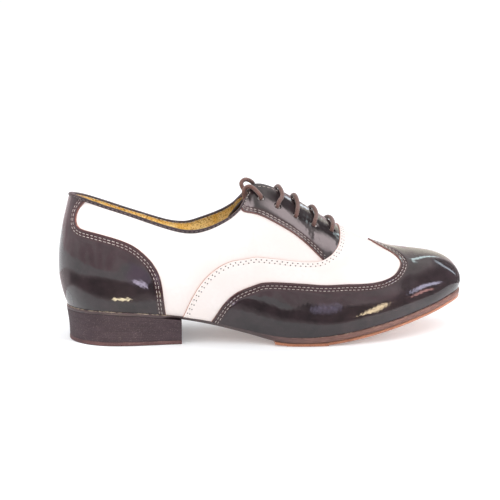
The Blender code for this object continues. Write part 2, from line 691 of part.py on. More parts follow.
def plate(name, stations, margin, top, bottom, parts):
    """Flat-across layer of the sole: the outline's two sides joined by straight lines."""
    lateral = outline(stations, margin, LATERAL)
    medial = outline(stations, margin, MEDIAL)
    middle = (lateral + medial) / 2
    across = np.stack([lateral, middle, medial], 1)
    layers = []
    for height in (bottom, top):
        layers.append(np.concatenate([across, height(across[..., :1])], -1))
    count = layers[0].shape[0]
    ring = np.concatenate([layers[0], layers[1][:, ::-1]], axis=1)
    faces = grid_faces(count, 6, closed=True)
    faces.append(tuple(range(6)))
    faces.append(tuple((count - 1) * 6 + j for j in range(6)))
    return add(name, mesh_from(name, ring, faces, closed=True), parts)


def station_at(x):
    """Distance along the feather edge at which it reaches x."""
    fine = np.linspace(0.0, TOE, 3000)
    return np.interp(x, feather(fine, LATERAL)[:, 0], fine)


def make_soles(parts):
    plate("insole", STATIONS, -INSOLE_INSET, lambda x: sole_top(x) + GAP + INSOLE,
          lambda x: sole_top(x) + GAP, parts)
    plate("outsole", STATIONS, SOLE_MARGIN, sole_top, sole_bottom, parts)
    back = station_at(SUEDE_BACK)
    flat = [station_at(x) for x in FLAT_SPOT]
    stations = np.unique(np.concatenate([[back], flat, STATIONS[STATIONS > back + END_STEP]]))
    plate("suede_sole", stations, SUEDE_MARGIN, suede_top, suede_bottom, parts)


def suede_bottom(x):
    """Walking surface: flat over the ball, then the toe spring; slightly raised at its rear."""
    lowest, highest = FLAT_SPOT
    free = sole_bottom(x) - GAP - SUEDE
    return np.where((x >= lowest) & (x <= highest), 0.0, np.maximum(free, 0.0))


def suede_top(x):
    return suede_bottom(x) + SUEDE


def heel_ring(taper, stations):
    """Heel outline: round the back, and straight across at the breast."""
    lateral = outline(stations, SOLE_MARGIN - taper, LATERAL)
    medial = outline(stations, SOLE_MARGIN - taper, MEDIAL)
    return np.concatenate([lateral[::-1], medial[1:]])


def make_heel(parts):
    breast = station_at(HEEL_BREAST)
    stations = np.append(STATIONS[STATIONS < breast - END_STEP], breast)
    levels = {
        "heel_block": (TOP_PIECE + GAP, None),
        "heel_top_piece": (0.0, TOP_PIECE),
    }
    for name, (low, high) in levels.items():
        top_taper = 0.0 if high is None else HEEL_TAPER
        rings = []
        for taper, level in ((HEEL_TAPER, low), (top_taper, high)):
            ring = heel_ring(taper, stations)
            height = sole_bottom(ring[:, 0]) - GAP if level is None else np.full(len(ring), level)
            rings.append(np.concatenate([ring, height[:, None]], 1))
        rings = np.array(rings)
        count = rings.shape[1]
        faces = grid_faces(2, count, closed=True)
        half = count // 2
        for layer in (0, count):
            for j in range(half):
                face = (layer + j, layer + j + 1, layer + count - 2 - j, layer + count - 1 - j)
                faces.append(tuple(dict.fromkeys(face)))
        add(name, mesh_from(name, rings, faces, closed=True), parts)


def smooth_route(points, count):
    """Even points on a smooth curve through a cord's own points."""
    points = np.asarray(points, float)
    travelled = np.concatenate([[0.0], np.cumsum(np.linalg.norm(np.diff(points, axis=0), axis=1))])
    fine = np.linspace(0.0, travelled[-1], 400)
    curve = np.stack([spline(travelled, points[:, k], fine) for k in range(3)], 1)
    run = np.concatenate([[0.0], np.cumsum(np.linalg.norm(np.diff(curve, axis=0), axis=1))])
    even = np.linspace(0.0, run[-1], count)
    return np.stack([np.interp(even, run, curve[:, k]) for k in range(3)], 1)


def cord(name, points, parts):
    """Round lace along the given points."""
    curve = bpy.data.curves.new(name, "CURVE")
    curve.dimensions = "3D"
    curve.bevel_depth = LACE / 2 * MM
    curve.bevel_resolution = 2
    curve.use_fill_caps = True
    line = curve.splines.new("POLY")
    line.points.add(len(points) - 1)
    for place, point in zip(line.points, (points - ORIGIN) * MM):
        place.co = (*point, 1.0)
    curve.materials.append(finish(name))
    piece = bpy.data.objects.new(name, curve)
    parts.objects.link(piece)
    return piece


def make_laces(parts):
    """Bars straight across from each lateral hole, lying over the facings, and two ends."""
    for index, lean in enumerate(BAR_LEAN):
        along, up = EYELETS[index]
        route = []
        for side, share, shift in BAR:
            route.append(skin(along + lean * shift, up + share * (1.0 - up), side, LACE_LIFT))
        cord("lace_%d" % (index + 1), smooth_route(route, 11), parts)
    for name, route in LACE_ENDS.items():
        cord(name, smooth_route(route, 14), parts)


def build():
    for thing in list(bpy.data.objects):
        bpy.data.objects.remove(thing, do_unlink=True)
    parts = collection(ASSEMBLY)
    cutters = collection("cutters")
    upper = make_upper(parts)
    make_counter(parts, cutters)
    make_vamp(parts, cutters)
    make_wingtip(parts, cutters)
    for side, end in ((LATERAL, "lateral"), (MEDIAL, "medial")):
        eyestay = make_eyestay("eyestay_" + end, side, parts, cutters)
        punch = drill("lace_holes_" + end, side, cutters)
        carve(upper, punch)
        carve(eyestay, punch)
    make_binding(parts)
    make_tongue(parts)
    make_soles(parts)
    make_heel(parts)
    make_laces(parts)


build()
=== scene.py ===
"""Looks of a right-foot wingtip dance shoe: leather, thread, lining, sole, heel and laces.

Every piece of the upper is read off one surface: at each distance along the feather edge, where
upper meets sole, a single cubic section rises to the top edge. Panels, cut edges, stitches and
laces all lie on that surface, so that they stay on each other from every side.
Tables are in millimetres; points become metres in the shoe's own frame when a mesh is made.
"""
import bpy
import bmesh
import numpy as np
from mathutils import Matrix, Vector


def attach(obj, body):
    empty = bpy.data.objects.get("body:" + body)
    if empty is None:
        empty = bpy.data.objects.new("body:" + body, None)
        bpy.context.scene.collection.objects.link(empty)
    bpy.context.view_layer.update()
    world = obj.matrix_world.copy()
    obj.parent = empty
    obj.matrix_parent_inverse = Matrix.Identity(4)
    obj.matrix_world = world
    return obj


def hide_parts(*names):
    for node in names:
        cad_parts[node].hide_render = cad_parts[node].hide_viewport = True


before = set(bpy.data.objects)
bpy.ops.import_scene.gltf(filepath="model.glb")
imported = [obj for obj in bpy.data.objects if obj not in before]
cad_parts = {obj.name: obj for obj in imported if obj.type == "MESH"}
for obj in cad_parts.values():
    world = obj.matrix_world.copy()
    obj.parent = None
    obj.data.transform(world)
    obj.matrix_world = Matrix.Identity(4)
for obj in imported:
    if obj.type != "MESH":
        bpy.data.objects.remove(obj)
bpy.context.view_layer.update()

MM = 0.001
SIDES = LATERAL, MEDIAL = -1, 1
ORIGIN = np.array([0.4, 1.41, 0.0])      # middle of the shoe in the tables' frame

GAP = 0.3                                # glue line left open between layers
WALL = 2.0                               # lined upper
OVERLAY = 1.1                            # top of a panel laid on the upper
WING_LIFT = 2.2                          # top of the wing, which lies on the vamp
THROAT_LIFT = 0.7                        # vamp's edge raised over the ends of the eyestays
REAR_BUILD, FRONT_BUILD = 1.2, 2.3       # leather on top of the upper at heel and toe
REAR_END, FRONT_START = 90.0, 206.0      # where that build-up changes, along the feather edge
BROW_TURN = (60.0, 120.0)                # where the sections' tops turn to lie straight across
INSOLE = 2.2
SOLE_MARGIN = 0.8                        # heel's top beyond the feather edge
WAIST_TUCK = 4.0                         # outsole's lower corner drawn in at the waist
SUEDE, SUEDE_BACK = 1.9, 0.6             # half sole's thickness, and x of its rear edge
FLAT_SPOT = (8.0, 36.0)                  # x of the forefoot's contact with the floor
HEEL_BREAST, HEEL_TAPER = -61.0, 1.6     # x of the heel's front, and its taper
TOP_PIECE = 2.6
TONGUE, TONGUE_GAP = 1.6, 1.4            # thickness, and distance from the lining
LACE, EYELET = 3.0, 4.2                  # diameters
EYELET_DEPTH = 2.6
FACING_EDGE = (141.0, 205.5)             # ends of a facing's free edge, along the feather edge
COLLAR_END = 147.0                       # where the binding ends
YARN = 1.5                               # distance between crossings of a lace's yarns

# Numbers kept at points for the materials: on a panel's cut edge, in its holes, on plain leather
# and at a panel's far line; and on a sole's underside
CUT_MARK, WELL_MARK, PLAIN_MARK, FAR_MARK = -0.5, -0.3, 5.0, 60.0
UNDER_MARK = 10.0

# Feather edge: distance along it from the heel back, x, and y on each side
FEATHER = np.array([
    # along,     x,  lateral, medial
    [0.0,   -138.0,   0.0,   0.0],
    [13.0,  -134.4, -12.2,  12.2],
    [26.0,  -126.0, -22.0,  22.0],
    [40.0,  -113.5, -28.8,  28.8],
    [58.0,   -96.0, -31.4,  31.0],
    [82.0,   -72.0, -30.8,  28.6],
    [112.0,  -42.0, -31.4,  23.0],
    [138.0,  -16.0, -36.6,  27.0],
    [162.0,    8.0, -43.8,  38.0],
    [184.0,   30.0, -46.4,  46.6],
    [206.0,   52.0, -44.8,  49.2],
    [228.0,   74.0, -40.2,  47.4],
    [249.0,   93.5, -33.4,  42.4],
    [266.0,  108.5, -27.0,  37.0],
    [280.2,  121.0, -20.4,  31.6],
    [292.4,  130.8, -13.4,  25.8],
    [303.3,  138.2,  -5.8,  19.0],
    [309.7,  141.5,   0.2,  13.6],
    [316.0,  142.5,   7.0,   7.0],
])
TOE = FEATHER[-1, 0]

# Top edge of each section: collar, then facing edge, then the ridge over the toe
EDGE = np.array([
    # along,     x,     z, spread from the ridge, ridge y, medial drop
    [0.0,   -134.5, 100.4,  0.0, 0.0,  0.0],
    [13.0,  -130.9,  99.6, 11.3, 0.0,  0.6],
    [26.0,  -122.6,  97.4, 19.8, 0.0,  1.3],
    [40.0,  -110.8,  93.8, 25.2, 0.0,  2.0],
    [58.0,   -94.0,  88.4, 28.6, 0.0,  2.8],
    [82.0,   -71.5,  80.6, 31.4, 0.0,  2.6],
    [97.0,   -56.5,  77.2, 32.2, 0.0,  1.5],
    [112.0,  -41.5,  79.4, 31.4, 0.5, -0.3],
    [124.0,  -28.0,  85.6, 28.0, 1.0,  0.0],
    [133.0,  -19.5,  91.8, 22.0, 1.5,  0.0],
    [141.0,  -14.5,  98.6, 13.0, 2.0,  0.0],
    [148.0,   -9.5, 104.0,  5.0, 2.4,  0.0],
    [162.0,    6.0, 102.6,  3.8, 3.0,  0.0],
    [184.0,   29.0,  90.0,  3.0, 4.0,  0.0],
    [205.0,   51.0,  76.8,  0.0, 4.8,  0.0],
    [228.0,   74.5,  65.0,  0.0, 5.4,  0.0],
    [249.0,   94.0,  58.9,  0.0, 6.0,  0.0],
    [266.0,  110.5,  56.7,  0.0, 6.4,  0.0],
    [280.2,  124.5,  54.0,  0.0, 6.6,  0.0],
    [292.4,  135.3,  48.6,  0.0, 6.8,  0.0],
    [303.3,  142.4,  40.2,  0.0, 7.0,  0.0],
    [309.7,  144.0,  34.2,  0.0, 7.0,  0.0],
    [316.0,  142.5,  28.0,  0.0, 7.0,  0.0],
])

# Shape of each section: outward lean at the sole and fall at the top edge, in degrees,
# and how far each reaches along the section, as a share of its height
SECTION = np.array([
    # along, lateral lean, medial lean, wall reach, edge fall, edge reach
    [0.0,    22.0, 22.0, 0.36, 75.0, 0.36],
    [40.0,   16.0, 16.0, 0.36, 78.0, 0.36],
    [82.0,   12.0, 16.0, 0.36, 82.0, 0.36],
    [112.0,  12.0, 27.0, 0.36, 74.0, 0.36],
    [130.0,  11.0, 27.0, 0.35, 58.0, 0.34],
    [148.0,  10.0, 22.0, 0.34, 30.0, 0.30],
    [184.0,  11.0, 12.0, 0.34, 20.0, 0.29],
    [205.0,  12.0, 11.0, 0.35,  0.0, 0.32],
    [228.0,  13.0, 12.0, 0.36,  0.0, 0.36],
    [266.0,  15.0, 14.0, 0.40,  0.0, 0.42],
    [303.3,  20.0, 20.0, 0.40,  0.0, 0.40],
    [316.0,  20.0, 20.0, 0.39,  0.0, 0.39],
])
TIP_LEAN = np.radians(SECTION[-1, 1])

# Height of the sole's top, and its thickness, along the shoe
SOLE = np.array([
    # x, top z, thickness
    [-140.0, 23.8, 2.2],
    [-110.0, 23.6, 2.2],
    [-75.0,  20.8, 2.2],
    [-42.0,  15.5, 2.8],
    [-19.0,  10.6, 3.4],
    [0.0,     7.0, 3.8],
    [14.0,    6.0, 3.8],
    [30.0,    6.2, 3.8],
    [52.0,    8.5, 3.8],
    [72.0,   11.9, 3.8],
    [93.5,   16.2, 3.8],
    [108.5,  19.8, 3.8],
    [121.0,  23.0, 3.8],
    [131.0,  25.6, 3.8],
    [143.5,  28.2, 3.8],
])

# Seams of the panels: along the feather edge, and share of the way up the section
COUNTER_SEAM = np.array([
    # along, up
    [82.6, 0.0], [81.4, 0.15], [80.8, 0.24], [80.0, 0.33], [78.8, 0.42], [76.5, 0.503],
    [73.0, 0.579], [67.9, 0.645], [63.8, 0.682], [59.8, 0.706], [55.7, 0.72], [51.8, 0.729],
    [47.0, 0.735], [41.0, 0.74], [34.0, 0.742], [28.0, 0.743], [24.2, 0.749], [21.3, 0.768],
    [19.7, 0.806], [19.3, 0.848], [20.3, 0.893], [23.0, 0.944], [26.8, 1.0],
])
WING_SEAM = np.array([
    # along, up
    [112.7, 0.0], [114.6, 0.047], [119.9, 0.178], [125.0, 0.261], [130.2, 0.303], [135.9, 0.317],
    [141.8, 0.316], [147.5, 0.315], [158.0, 0.321], [167.5, 0.330], [177.8, 0.339], [188.5, 0.3445],
    [199.2, 0.347], [210.3, 0.357], [221.8, 0.376], [227.9, 0.394], [234.6, 0.427], [239.2, 0.464],
    [242.4, 0.51], [245.0, 0.561], [246.6, 0.616], [246.2, 0.674], [244.4, 0.736], [240.8, 0.795],
    [236.0, 0.85], [231.3, 0.92], [228.4, 1.0],
])
VAMP_SEAM = np.array([
    # along, up
    [94.0, 0.0], [99.0, 0.2], [104.0, 0.362], [110.0, 0.49], [117.7, 0.572], [125.5, 0.585],
    [134.7, 0.541], [148.0, 0.462], [156.0, 0.452], [164.7, 0.456], [175.4, 0.471], [188.6, 0.509],
    [194.7, 0.551], [199.5, 0.613], [202.4, 0.691], [204.0, 0.77], [205.4, 0.88], [206.0, 1.0],
])
EYESTAY_SEAM = np.array([
    # along, up
    [132.4, 1.0], [134.2, 0.95], [139.9, 0.851], [145.3, 0.772], [149.9, 0.726], [157.2, 0.686],
    [164.3, 0.661], [171.8, 0.636], [179.5, 0.594], [183.2, 0.566], [186.8, 0.532], [190.2, 0.5],
])
EYELETS = np.array([
    # along, up, from the front pair to the top pair
    [199.0, 0.785], [186.5, 0.785], [174.0, 0.788], [162.0, 0.81], [152.0, 0.858],
])

# Where the lines of a panel that start at a share of its seam's length end
COUNTER_FAR = np.array([
    # share, along, up
    [0.0, 76.0, 0.0], [0.4, 0.0, 0.0], [1.0, 0.0, 1.0],
])
WING_FAR = np.array([
    # share, along, up
    [0.0, 117.0, 0.0], [0.1, 131.0, 0.0], [0.2, 150.0, 0.0], [0.344, 175.0, 0.0],
    [0.455, 196.0, 0.0], [0.574, 219.0, 0.0], [0.67, 242.0, 0.0], [0.745, 266.0, 0.0],
    [0.804, 291.0, 0.0], [0.85, 308.0, 0.0], [0.89, 316.0, 0.0], [0.93, 316.0, 0.4],
    [1.0, 316.0, 1.0],
])

# Cut edge of a panel and the leather pressed down under its two rows of thread
EDGE_ROWS = np.array([
    # distance from the edge, share of the panel's height
    [0.0, 0.0], [0.0, 0.45], [0.03, 0.72], [0.14, 0.92], [0.35, 1.0], [0.8, 1.0], [1.3, 1.0],
    [1.7, 1.0], [2.0, 0.93], [2.4, 0.82], [2.8, 0.93], [3.2, 1.0], [3.7, 0.93], [4.1, 0.82],
    [4.5, 0.93], [5.0, 1.0], [5.8, 1.03], [7.0, 1.04],
])
VAMP_ROWS = np.array([
    # the same on the vamp and facings, whose rows lie closer to the edge
    [0.0, 0.0], [0.0, 0.45], [0.03, 0.72], [0.12, 0.92], [0.3, 1.0], [0.6, 1.0], [1.0, 0.97],
    [1.3, 0.9], [1.6, 0.84], [1.9, 0.9], [2.4, 1.0], [2.9, 0.9], [3.2, 0.84], [3.5, 0.9],
    [4.0, 1.0], [5.0, 1.02], [7.0, 1.03],
])
PANEL_THREADS = (2.4, 4.1)
VAMP_THREADS = (1.6, 3.2)

# Soft creases: a line on the surface, half width and height across it (negative for a trough)
CREASES = np.array([
    # along, up, along, up, half width, height
    [92.0, 0.90, 89.0, 0.60, 2.6, -0.16],
    [97.0, 0.88, 95.5, 0.52, 2.2, -0.14],
    [102.5, 0.90, 103.5, 0.62, 2.4, -0.13],
    [86.0, 0.86, 80.0, 0.66, 3.0, -0.12],
    [120.0, 0.86, 112.0, 0.66, 3.2, -0.14],
    [127.0, 0.80, 121.0, 0.64, 2.6, -0.10],
    [214.0, 0.60, 219.0, 0.95, 4.0, -0.16],
    [222.0, 0.48, 226.0, 0.90, 3.4, -0.12],
    [207.0, 0.50, 213.0, 0.38, 3.4, -0.14],
    [36.0, 0.40, 60.0, 0.34, 6.0, 0.10],
])
CREASE_SPAN = 78.0                       # section length that a share of up stands for

# Lace bars between a pair of holes: each bar's lean toward the toe, from the front bar to the
# top one, and the line that every bar follows
BAR_LEAN = [1.5, 2.5, 1.6, 3.4]
BAR = np.array([
    # side, share of the way from hole to facing edge, share of the lean, lift
    [LATERAL, 0.0, 0.0, -2.2], [LATERAL, 0.0, 0.0, 0.4], [LATERAL, 0.10, 0.1, 2.3],
    [LATERAL, 0.30, 0.6, 3.0], [LATERAL, 0.60, 1.0, 3.0], [LATERAL, 0.95, 0.8, 3.0],
    [MEDIAL, 0.90, 0.55, 2.8], [MEDIAL, 0.55, 0.3, 2.8], [MEDIAL, 0.28, 0.1, 2.8],
    [MEDIAL, 0.10, 0.0, 2.3], [MEDIAL, 0.0, 0.0, 0.4], [MEDIAL, 0.0, 0.0, -2.2],
])

# Tongue's free end: how far it runs back and drops past the facings
TONGUE_ENDS, TONGUE_LOW = (150.0, 223.0), 0.7
TONGUE_TOP = np.array([
    # back, down, from the lateral edge over the ridge to the medial edge
    [6.0, 1.0], [5.0, 1.5], [4.0, 2.0], [5.0, 2.0], [11.0, 2.0], [18.0, 1.5],
])

# Lace ends: from above the top hole over the facing and down inside the collar
LACE_ENDS = {
    # x, y, z
    "lace_end_lateral": np.array([
        (-7.8, -10.5, 100.4), (-9.8, -7.2, 102.4), (-11.7, -5.8, 103.4), (-13.8, -5.0, 103.2),
        (-15.5, -4.4, 101.5), (-16.1, -4.2, 99.3), (-15.7, -4.0, 96.1), (-14.9, -4.0, 89.9),
        (-14.6, -4.0, 78.5),
    ]),
    "lace_end_medial": np.array([
        (-6.6, 16.8, 101.4), (-8.0, 12.9, 104.6), (-11.5, 9.2, 106.8), (-14.8, 6.6, 107.0),
        (-16.8, 5.0, 105.0), (-16.3, 4.0, 102.4), (-14.9, 3.4, 99.8), (-14.2, 3.0, 96.4),
        (-13.8, 2.8, 85.0),
    ]),
}

# Camera: its place, its turn toward the toe and tip downward in degrees, and its lens
EYE = np.array([-83.6, -588.7, 154.4])
YAW, PITCH = 7.0, 9.2
FOCAL_PIXELS, PICTURE_PIXELS, SENSOR = 856.0, 500.0, 36.0

# Lit cards that the camera sees mirrored in strips of lacquer
CARDS = [
    # name, strip's first and last (along, up), half width in up, lift,
    # distance, colour, strength, and the thresholds between bare and lit
    ("gold_card_counter", (45.0, 0.134), (63.0, 0.158), 0.030, OVERLAY,
     58.0, "#ffefc8", 19.0, 0.28, 0.42),
    ("violet_card_counter", (58.0, 0.350), (78.0, 0.296), 0.090, OVERLAY,
     110.0, "#e4d8f2", 12.0, 0.33, 0.48),
    ("haze_card_counter", (56.0, 0.440), (80.0, 0.380), 0.150, OVERLAY,
     130.0, "#d0bede", 1.6, 0.0, 0.45),
    ("gold_card_wing", (203.0, 0.076), (237.0, 0.200), 0.044, WING_LIFT,
     160.0, "#ffe6bd", 17.0, 0.32, 0.46),
    ("violet_card_wing", (176.0, 0.182), (202.0, 0.200), 0.054, WING_LIFT,
     300.0, "#d6cdf2", 6.0, 0.30, 0.85),
    ("violet_card_toe", (246.0, 0.252), (284.0, 0.304), 0.048, WING_LIFT,
     300.0, "#dcdaf6", 10.0, 0.30, 0.46),
    ("rose_card_toe", (248.0, 0.216), (275.0, 0.208), 0.024, WING_LIFT,
     300.0, "#f2b4ae", 8.0, 0.32, 0.46),
    ("sky_card_toe", (239.0, 0.604), (283.0, 0.756), 0.024, WING_LIFT,
     400.0, "#dcf2f4", 9.0, 0.10, 0.50),
    ("rim_card_toe", (273.0, 0.660), (297.0, 0.440), 0.036, WING_LIFT,
     400.0, "#e4f2ff", 5.0, 0.10, 0.50),
    ("light_card_facing", (150.0, 0.830), (196.0, 0.600), 0.060, OVERLAY,
     200.0, "#f8e8ea", 6.0, 0.0, 0.40),
    ("dark_card_facing", (156.0, 0.900), (204.0, 0.760), 0.080, OVERLAY,
     210.0, "#302c2e", 1.0, 0.0, 0.30),
    ("sky_card_facing", (163.0, 0.945), (194.0, 0.945), 0.024, OVERLAY,
     190.0, "#e8f0fa", 6.0, 0.15, 0.45),
    ("ridge_card_toe", (226.0, 0.860), (296.0, 0.880), 0.140, WING_LIFT,
     500.0, "#e2dccf", 2.0, 0.0, 0.45),
]

LAMPS = [
    # name, power, place and target in metres, cone in degrees
    ("collar_lamp", 10.5, (0.03, -0.14, 0.36), (-0.112, 0.012, 0.075), 24.0),
    ("toe_lamp", 4.6, (0.30, -0.30, 0.16), (0.125, 0.0, 0.0), 26.0),
]


def spline(rows, values, at, start=None, end=None):
    """Cubic spline through table rows. start and end are slopes, or None for a free end.

    The bend, or second slope, runs straight from row to row; the bends at the rows solve a linear
    system that keeps the slope continuous.
    """
    count = len(rows)
    width = np.diff(rows)
    slope = np.diff(values) / width
    system = np.zeros((count, count))
    right = np.zeros(count)
    inner = np.arange(1, count - 1)
    system[inner, inner - 1] = width[:-1]
    system[inner, inner] = 2 * (width[:-1] + width[1:])
    system[inner, inner + 1] = width[1:]
    right[inner] = 6 * (slope[1:] - slope[:-1])
    system[0, 0] = 1
    system[-1, -1] = 1
    if start is not None:
        system[0, :2] = 2 * width[0], width[0]
        right[0] = 6 * (slope[0] - start)
    if end is not None:
        system[-1, -2:] = width[-1], 2 * width[-1]
        right[-1] = 6 * (end - slope[-1])
    bend = np.linalg.solve(system, right)
    k = np.clip(np.searchsorted(rows, at) - 1, 0, count - 2)
    after = at - rows[k]
    before = rows[k + 1] - at
    cubic = (bend[k] * before ** 3 + bend[k + 1] * after ** 3) / (6 * width[k])
    low = (values[k] / width[k] - bend[k] * width[k] / 6) * before
    high = (values[k + 1] / width[k] - bend[k + 1] * width[k] / 6) * after
    return cubic + low + high


def monotone(rows, values, at):
    """Cubic through table rows that never overshoots them.

    The slope at a row is the weighted harmonic mean of its two chords', or zero where their signs
    differ.
    """
    width = np.diff(rows)
    slope = np.diff(values) / width
    turn = np.zeros(len(rows))
    same = slope[:-1] * slope[1:] > 0
    left = 2 * width[1:] + width[:-1]
    right = width[1:] + 2 * width[:-1]
    safe = np.where(same[:, None], np.stack([slope[:-1], slope[1:]], 1), 1.0)
    mean = (left + right) / (left / safe[:, 0] + right / safe[:, 1])
    turn[1:-1] = np.where(same, mean, 0.0)
    turn[0], turn[-1] = slope[0], slope[-1]
    k = np.clip(np.searchsorted(rows, at) - 1, 0, len(rows) - 2)
    t = (at - rows[k]) / width[k]
    start = values[k] * (1 + 2 * t) * (1 - t) ** 2 + turn[k] * width[k] * t * (1 - t) ** 2
    end = values[k + 1] * t * t * (3 - 2 * t) + turn[k + 1] * width[k] * t * t * (t - 1)
    return start + end


def ease(value, low, high):
    """0 below low, 1 above high, and a smooth step between."""
    t = np.clip((value - low) / (high - low), 0.0, 1.0)
    return t * t * (3 - 2 * t)


def unit(vectors):
    """Vectors of length one."""
    return vectors / np.maximum(np.linalg.norm(vectors, axis=-1, keepdims=True), 1e-9)


def travelled(points):
    """Distance along a line of points up to each of them."""
    return np.append(0.0, np.cumsum(np.linalg.norm(np.diff(points, axis=0), axis=1)))


def read(at, rows, values):
    """Columns of values read at given places, straight between the rows."""
    return np.stack([np.interp(at, rows, column) for column in values.T], 1)


def sole_top(x):
    """Height of the sole's upper face: a spline along the shoe."""
    return spline(SOLE[:, 0], SOLE[:, 1], x)


def sole_bottom(x):
    """Underside of the outsole: its thickness below the top."""
    return sole_top(x) - monotone(SOLE[:, 0], SOLE[:, 2], x)


def feather(along, side):
    """Feather edge, where the upper's finished outside meets the sole."""
    x = spline(FEATHER[:, 0], FEATHER[:, 1], along, 0.0, 0.0)
    y = spline(FEATHER[:, 0], FEATHER[:, 2 if side == LATERAL else 3], along)
    return np.stack([x, y, sole_top(x)], -1)


def outward(along, side):
    """Level direction away from the shoe, square to the feather edge."""
    step = 0.2
    ahead = feather(np.minimum(along + step, TOE), side)
    behind = feather(np.maximum(along - step, 0.0), side)
    run = ahead - behind
    out = unit(np.stack([-side * run[..., 1], side * run[..., 0], 0 * along], -1))
    out[along <= 0] = (-1.0, 0.0, 0.0)
    out[along >= TOE] = (1.0, 0.0, 0.0)
    return out


def top_edge(along, side):
    """Collar, facing edge and ridge: splines along the shoe, spread to either side."""
    x = spline(EDGE[:, 0], EDGE[:, 1], along, 0.0)
    z = spline(EDGE[:, 0], EDGE[:, 2], along, 0.0)
    if side == MEDIAL:
        z = z - monotone(EDGE[:, 0], EDGE[:, 5], along)
    spread = monotone(EDGE[:, 0], EDGE[:, 3], along)
    y = spline(EDGE[:, 0], EDGE[:, 4], along) + side * spread
    return np.stack([x, y, z], -1)


def controls(along, side):
    """The four points of each section's cubic: foot, wall, brow and top."""
    foot = feather(along, side)
    top = top_edge(along, side)
    out = outward(along, side)
    across = ease(along, *BROW_TURN)[..., None]
    brow_way = unit((1 - across) * out + across * np.array([0.0, side, 0.0]))
    rise = np.array([0.0, 0.0, 1.0])
    height = np.linalg.norm(top - foot, axis=-1)[..., None]

    def column(index):
        return monotone(SECTION[:, 0], SECTION[:, index], along)[..., None]

    lean = np.radians(column(1 if side == LATERAL else 2))
    fall = np.radians(column(4))
    wall = foot + height * column(3) * (np.sin(lean) * out + np.cos(lean) * rise)
    brow = top + height * column(5) * (np.cos(fall) * brow_way - np.sin(fall) * rise)
    return foot, wall, brow, top


def section_point(along, up, side):
    """Finished outside of the shoe: the cubic of a section at a share up of its length."""
    foot, wall, brow, top = controls(along, side)
    t = up[..., None]
    return ((1 - t) ** 3 * foot + 3 * t * (1 - t) ** 2 * wall
            + 3 * t * t * (1 - t) * brow + t ** 3 * top)


def section_slope(along, up, side):
    """Direction of a section's cubic."""
    foot, wall, brow, top = controls(along, side)
    t = up[..., None]
    return (1 - t) ** 2 * (wall - foot) + 2 * t * (1 - t) * (brow - wall) + t * t * (top - brow)


def creases(along, up):
    """Relief of the soft creases: a bell across each line, fading out at the line's ends."""
    total = 0.0 * along
    for first, low, last, high, half_width, height in CREASES:
        start = np.array([first, low * CREASE_SPAN])
        run = np.array([last, high * CREASE_SPAN]) - start
        point = np.stack([along, up * CREASE_SPAN], -1) - start
        share = point @ run / (run @ run)
        distance = np.abs(point[..., 0] * run[1] - point[..., 1] * run[0]) / np.linalg.norm(run)
        fade = ease(share, -0.35, 0.3) * (1 - ease(share, 0.7, 1.35))
        total = total + height * fade * np.exp(-(distance / half_width) ** 2)
    return total


def skin(along, up, side, lift=0.0):
    """Point on the upper's own outside, raised by lift along the surface's normal.

    The upper lies below the finished outside by the leather built up on it, and bears the creases.
    """
    along, up, lift = np.broadcast_arrays(np.asarray(along, float), np.asarray(up, float),
                                          np.asarray(lift, float))
    step = 0.3
    safe = np.clip(along, 0.0, TOE - 2 * step)
    ahead = section_point(safe + step, up, side)
    behind = section_point(np.maximum(safe - step, 0.0), up, side)
    normal = unit(side * np.cross(section_slope(safe, up, side), ahead - behind))
    normal[along <= 0, 1] = 0.0
    normal[along >= TOE] = (np.cos(TIP_LEAN), 0.0, -np.sin(TIP_LEAN))
    normal = unit(normal)
    build = REAR_BUILD + (FRONT_BUILD - REAR_BUILD) * ease(along, REAR_END, FRONT_START)
    return section_point(along, up, side) + (lift - build + creases(along, up))[..., None] * normal


def even_line(table, side, count):
    """Points of a smooth line through a table's (along, up) rows, evenly spaced on the surface.

    The rows are joined by a spline over the distance travelled, pulled a little toward the straight
    chords, then read again at equal steps.
    """
    curve_share, chord_share = 0.8, 0.2
    rough = travelled(skin(*table.T, side))
    fine = np.linspace(0.0, rough[-1], 1200)
    curved = np.stack([spline(rough, column, fine) for column in table.T], 1)
    plan = curve_share * curved + chord_share * read(fine, rough, table)
    run = travelled(skin(*plan.T, side))
    return read(np.linspace(0.0, run[-1], count), run, plan)


def inset(line, side, distance, hand):
    """A line on the surface moved sideways by a distance in millimetres.

    Square to the line and to the surface's normal, solved for the change of (along, up). hand is 1
    for the left of the line's travel, with along to the right and up upward, and -1 for the right.
    """
    along, up = line.T
    step, rise = 0.3, 0.003
    near_up = np.clip(up, 0.004, 0.996)
    near_along = np.clip(along, 0.5, TOE - 2.0)
    step_along = (skin(near_along + step, near_up, side)
                  - skin(near_along - step, near_up, side)) / (2 * step)
    step_up = (skin(near_along, near_up + rise, side)
               - skin(near_along, near_up - rise, side)) / (2 * rise)
    travel = step_along * np.gradient(along)[:, None] + step_up * np.gradient(up)[:, None]
    normal = unit(side * np.cross(step_up, step_along))
    away = -side * hand * np.cross(normal, unit(travel))
    jacobian = np.stack([step_along, step_up], -1)
    square = np.einsum("nij,nik->njk", jacobian, jacobian)
    change = np.linalg.solve(square, np.einsum("nij,ni->nj", jacobian, away)[..., None])[..., 0]
    return np.clip(line + np.asarray(distance)[..., None] * change, 0.0, [TOE, 1.0])


def swell(along, up, side):
    """Waviness of stretched patent leather: slow crossed sines, and ripples 3 to 5 mm apart."""
    height = up * CREASE_SPAN
    wave = np.sin(along / 3.9 + height / 7.3 + side) + np.sin(along / 6.1 - height / 4.7 + 1.3)
    short = np.sin(along / 0.56 + height / 2.1) * np.sin(along / 1.9 - height / 0.83 + 0.7)
    return 0.035 * (wave + np.sin(height / 2.9 + along / 11.0 + 0.4)) + 0.011 * short


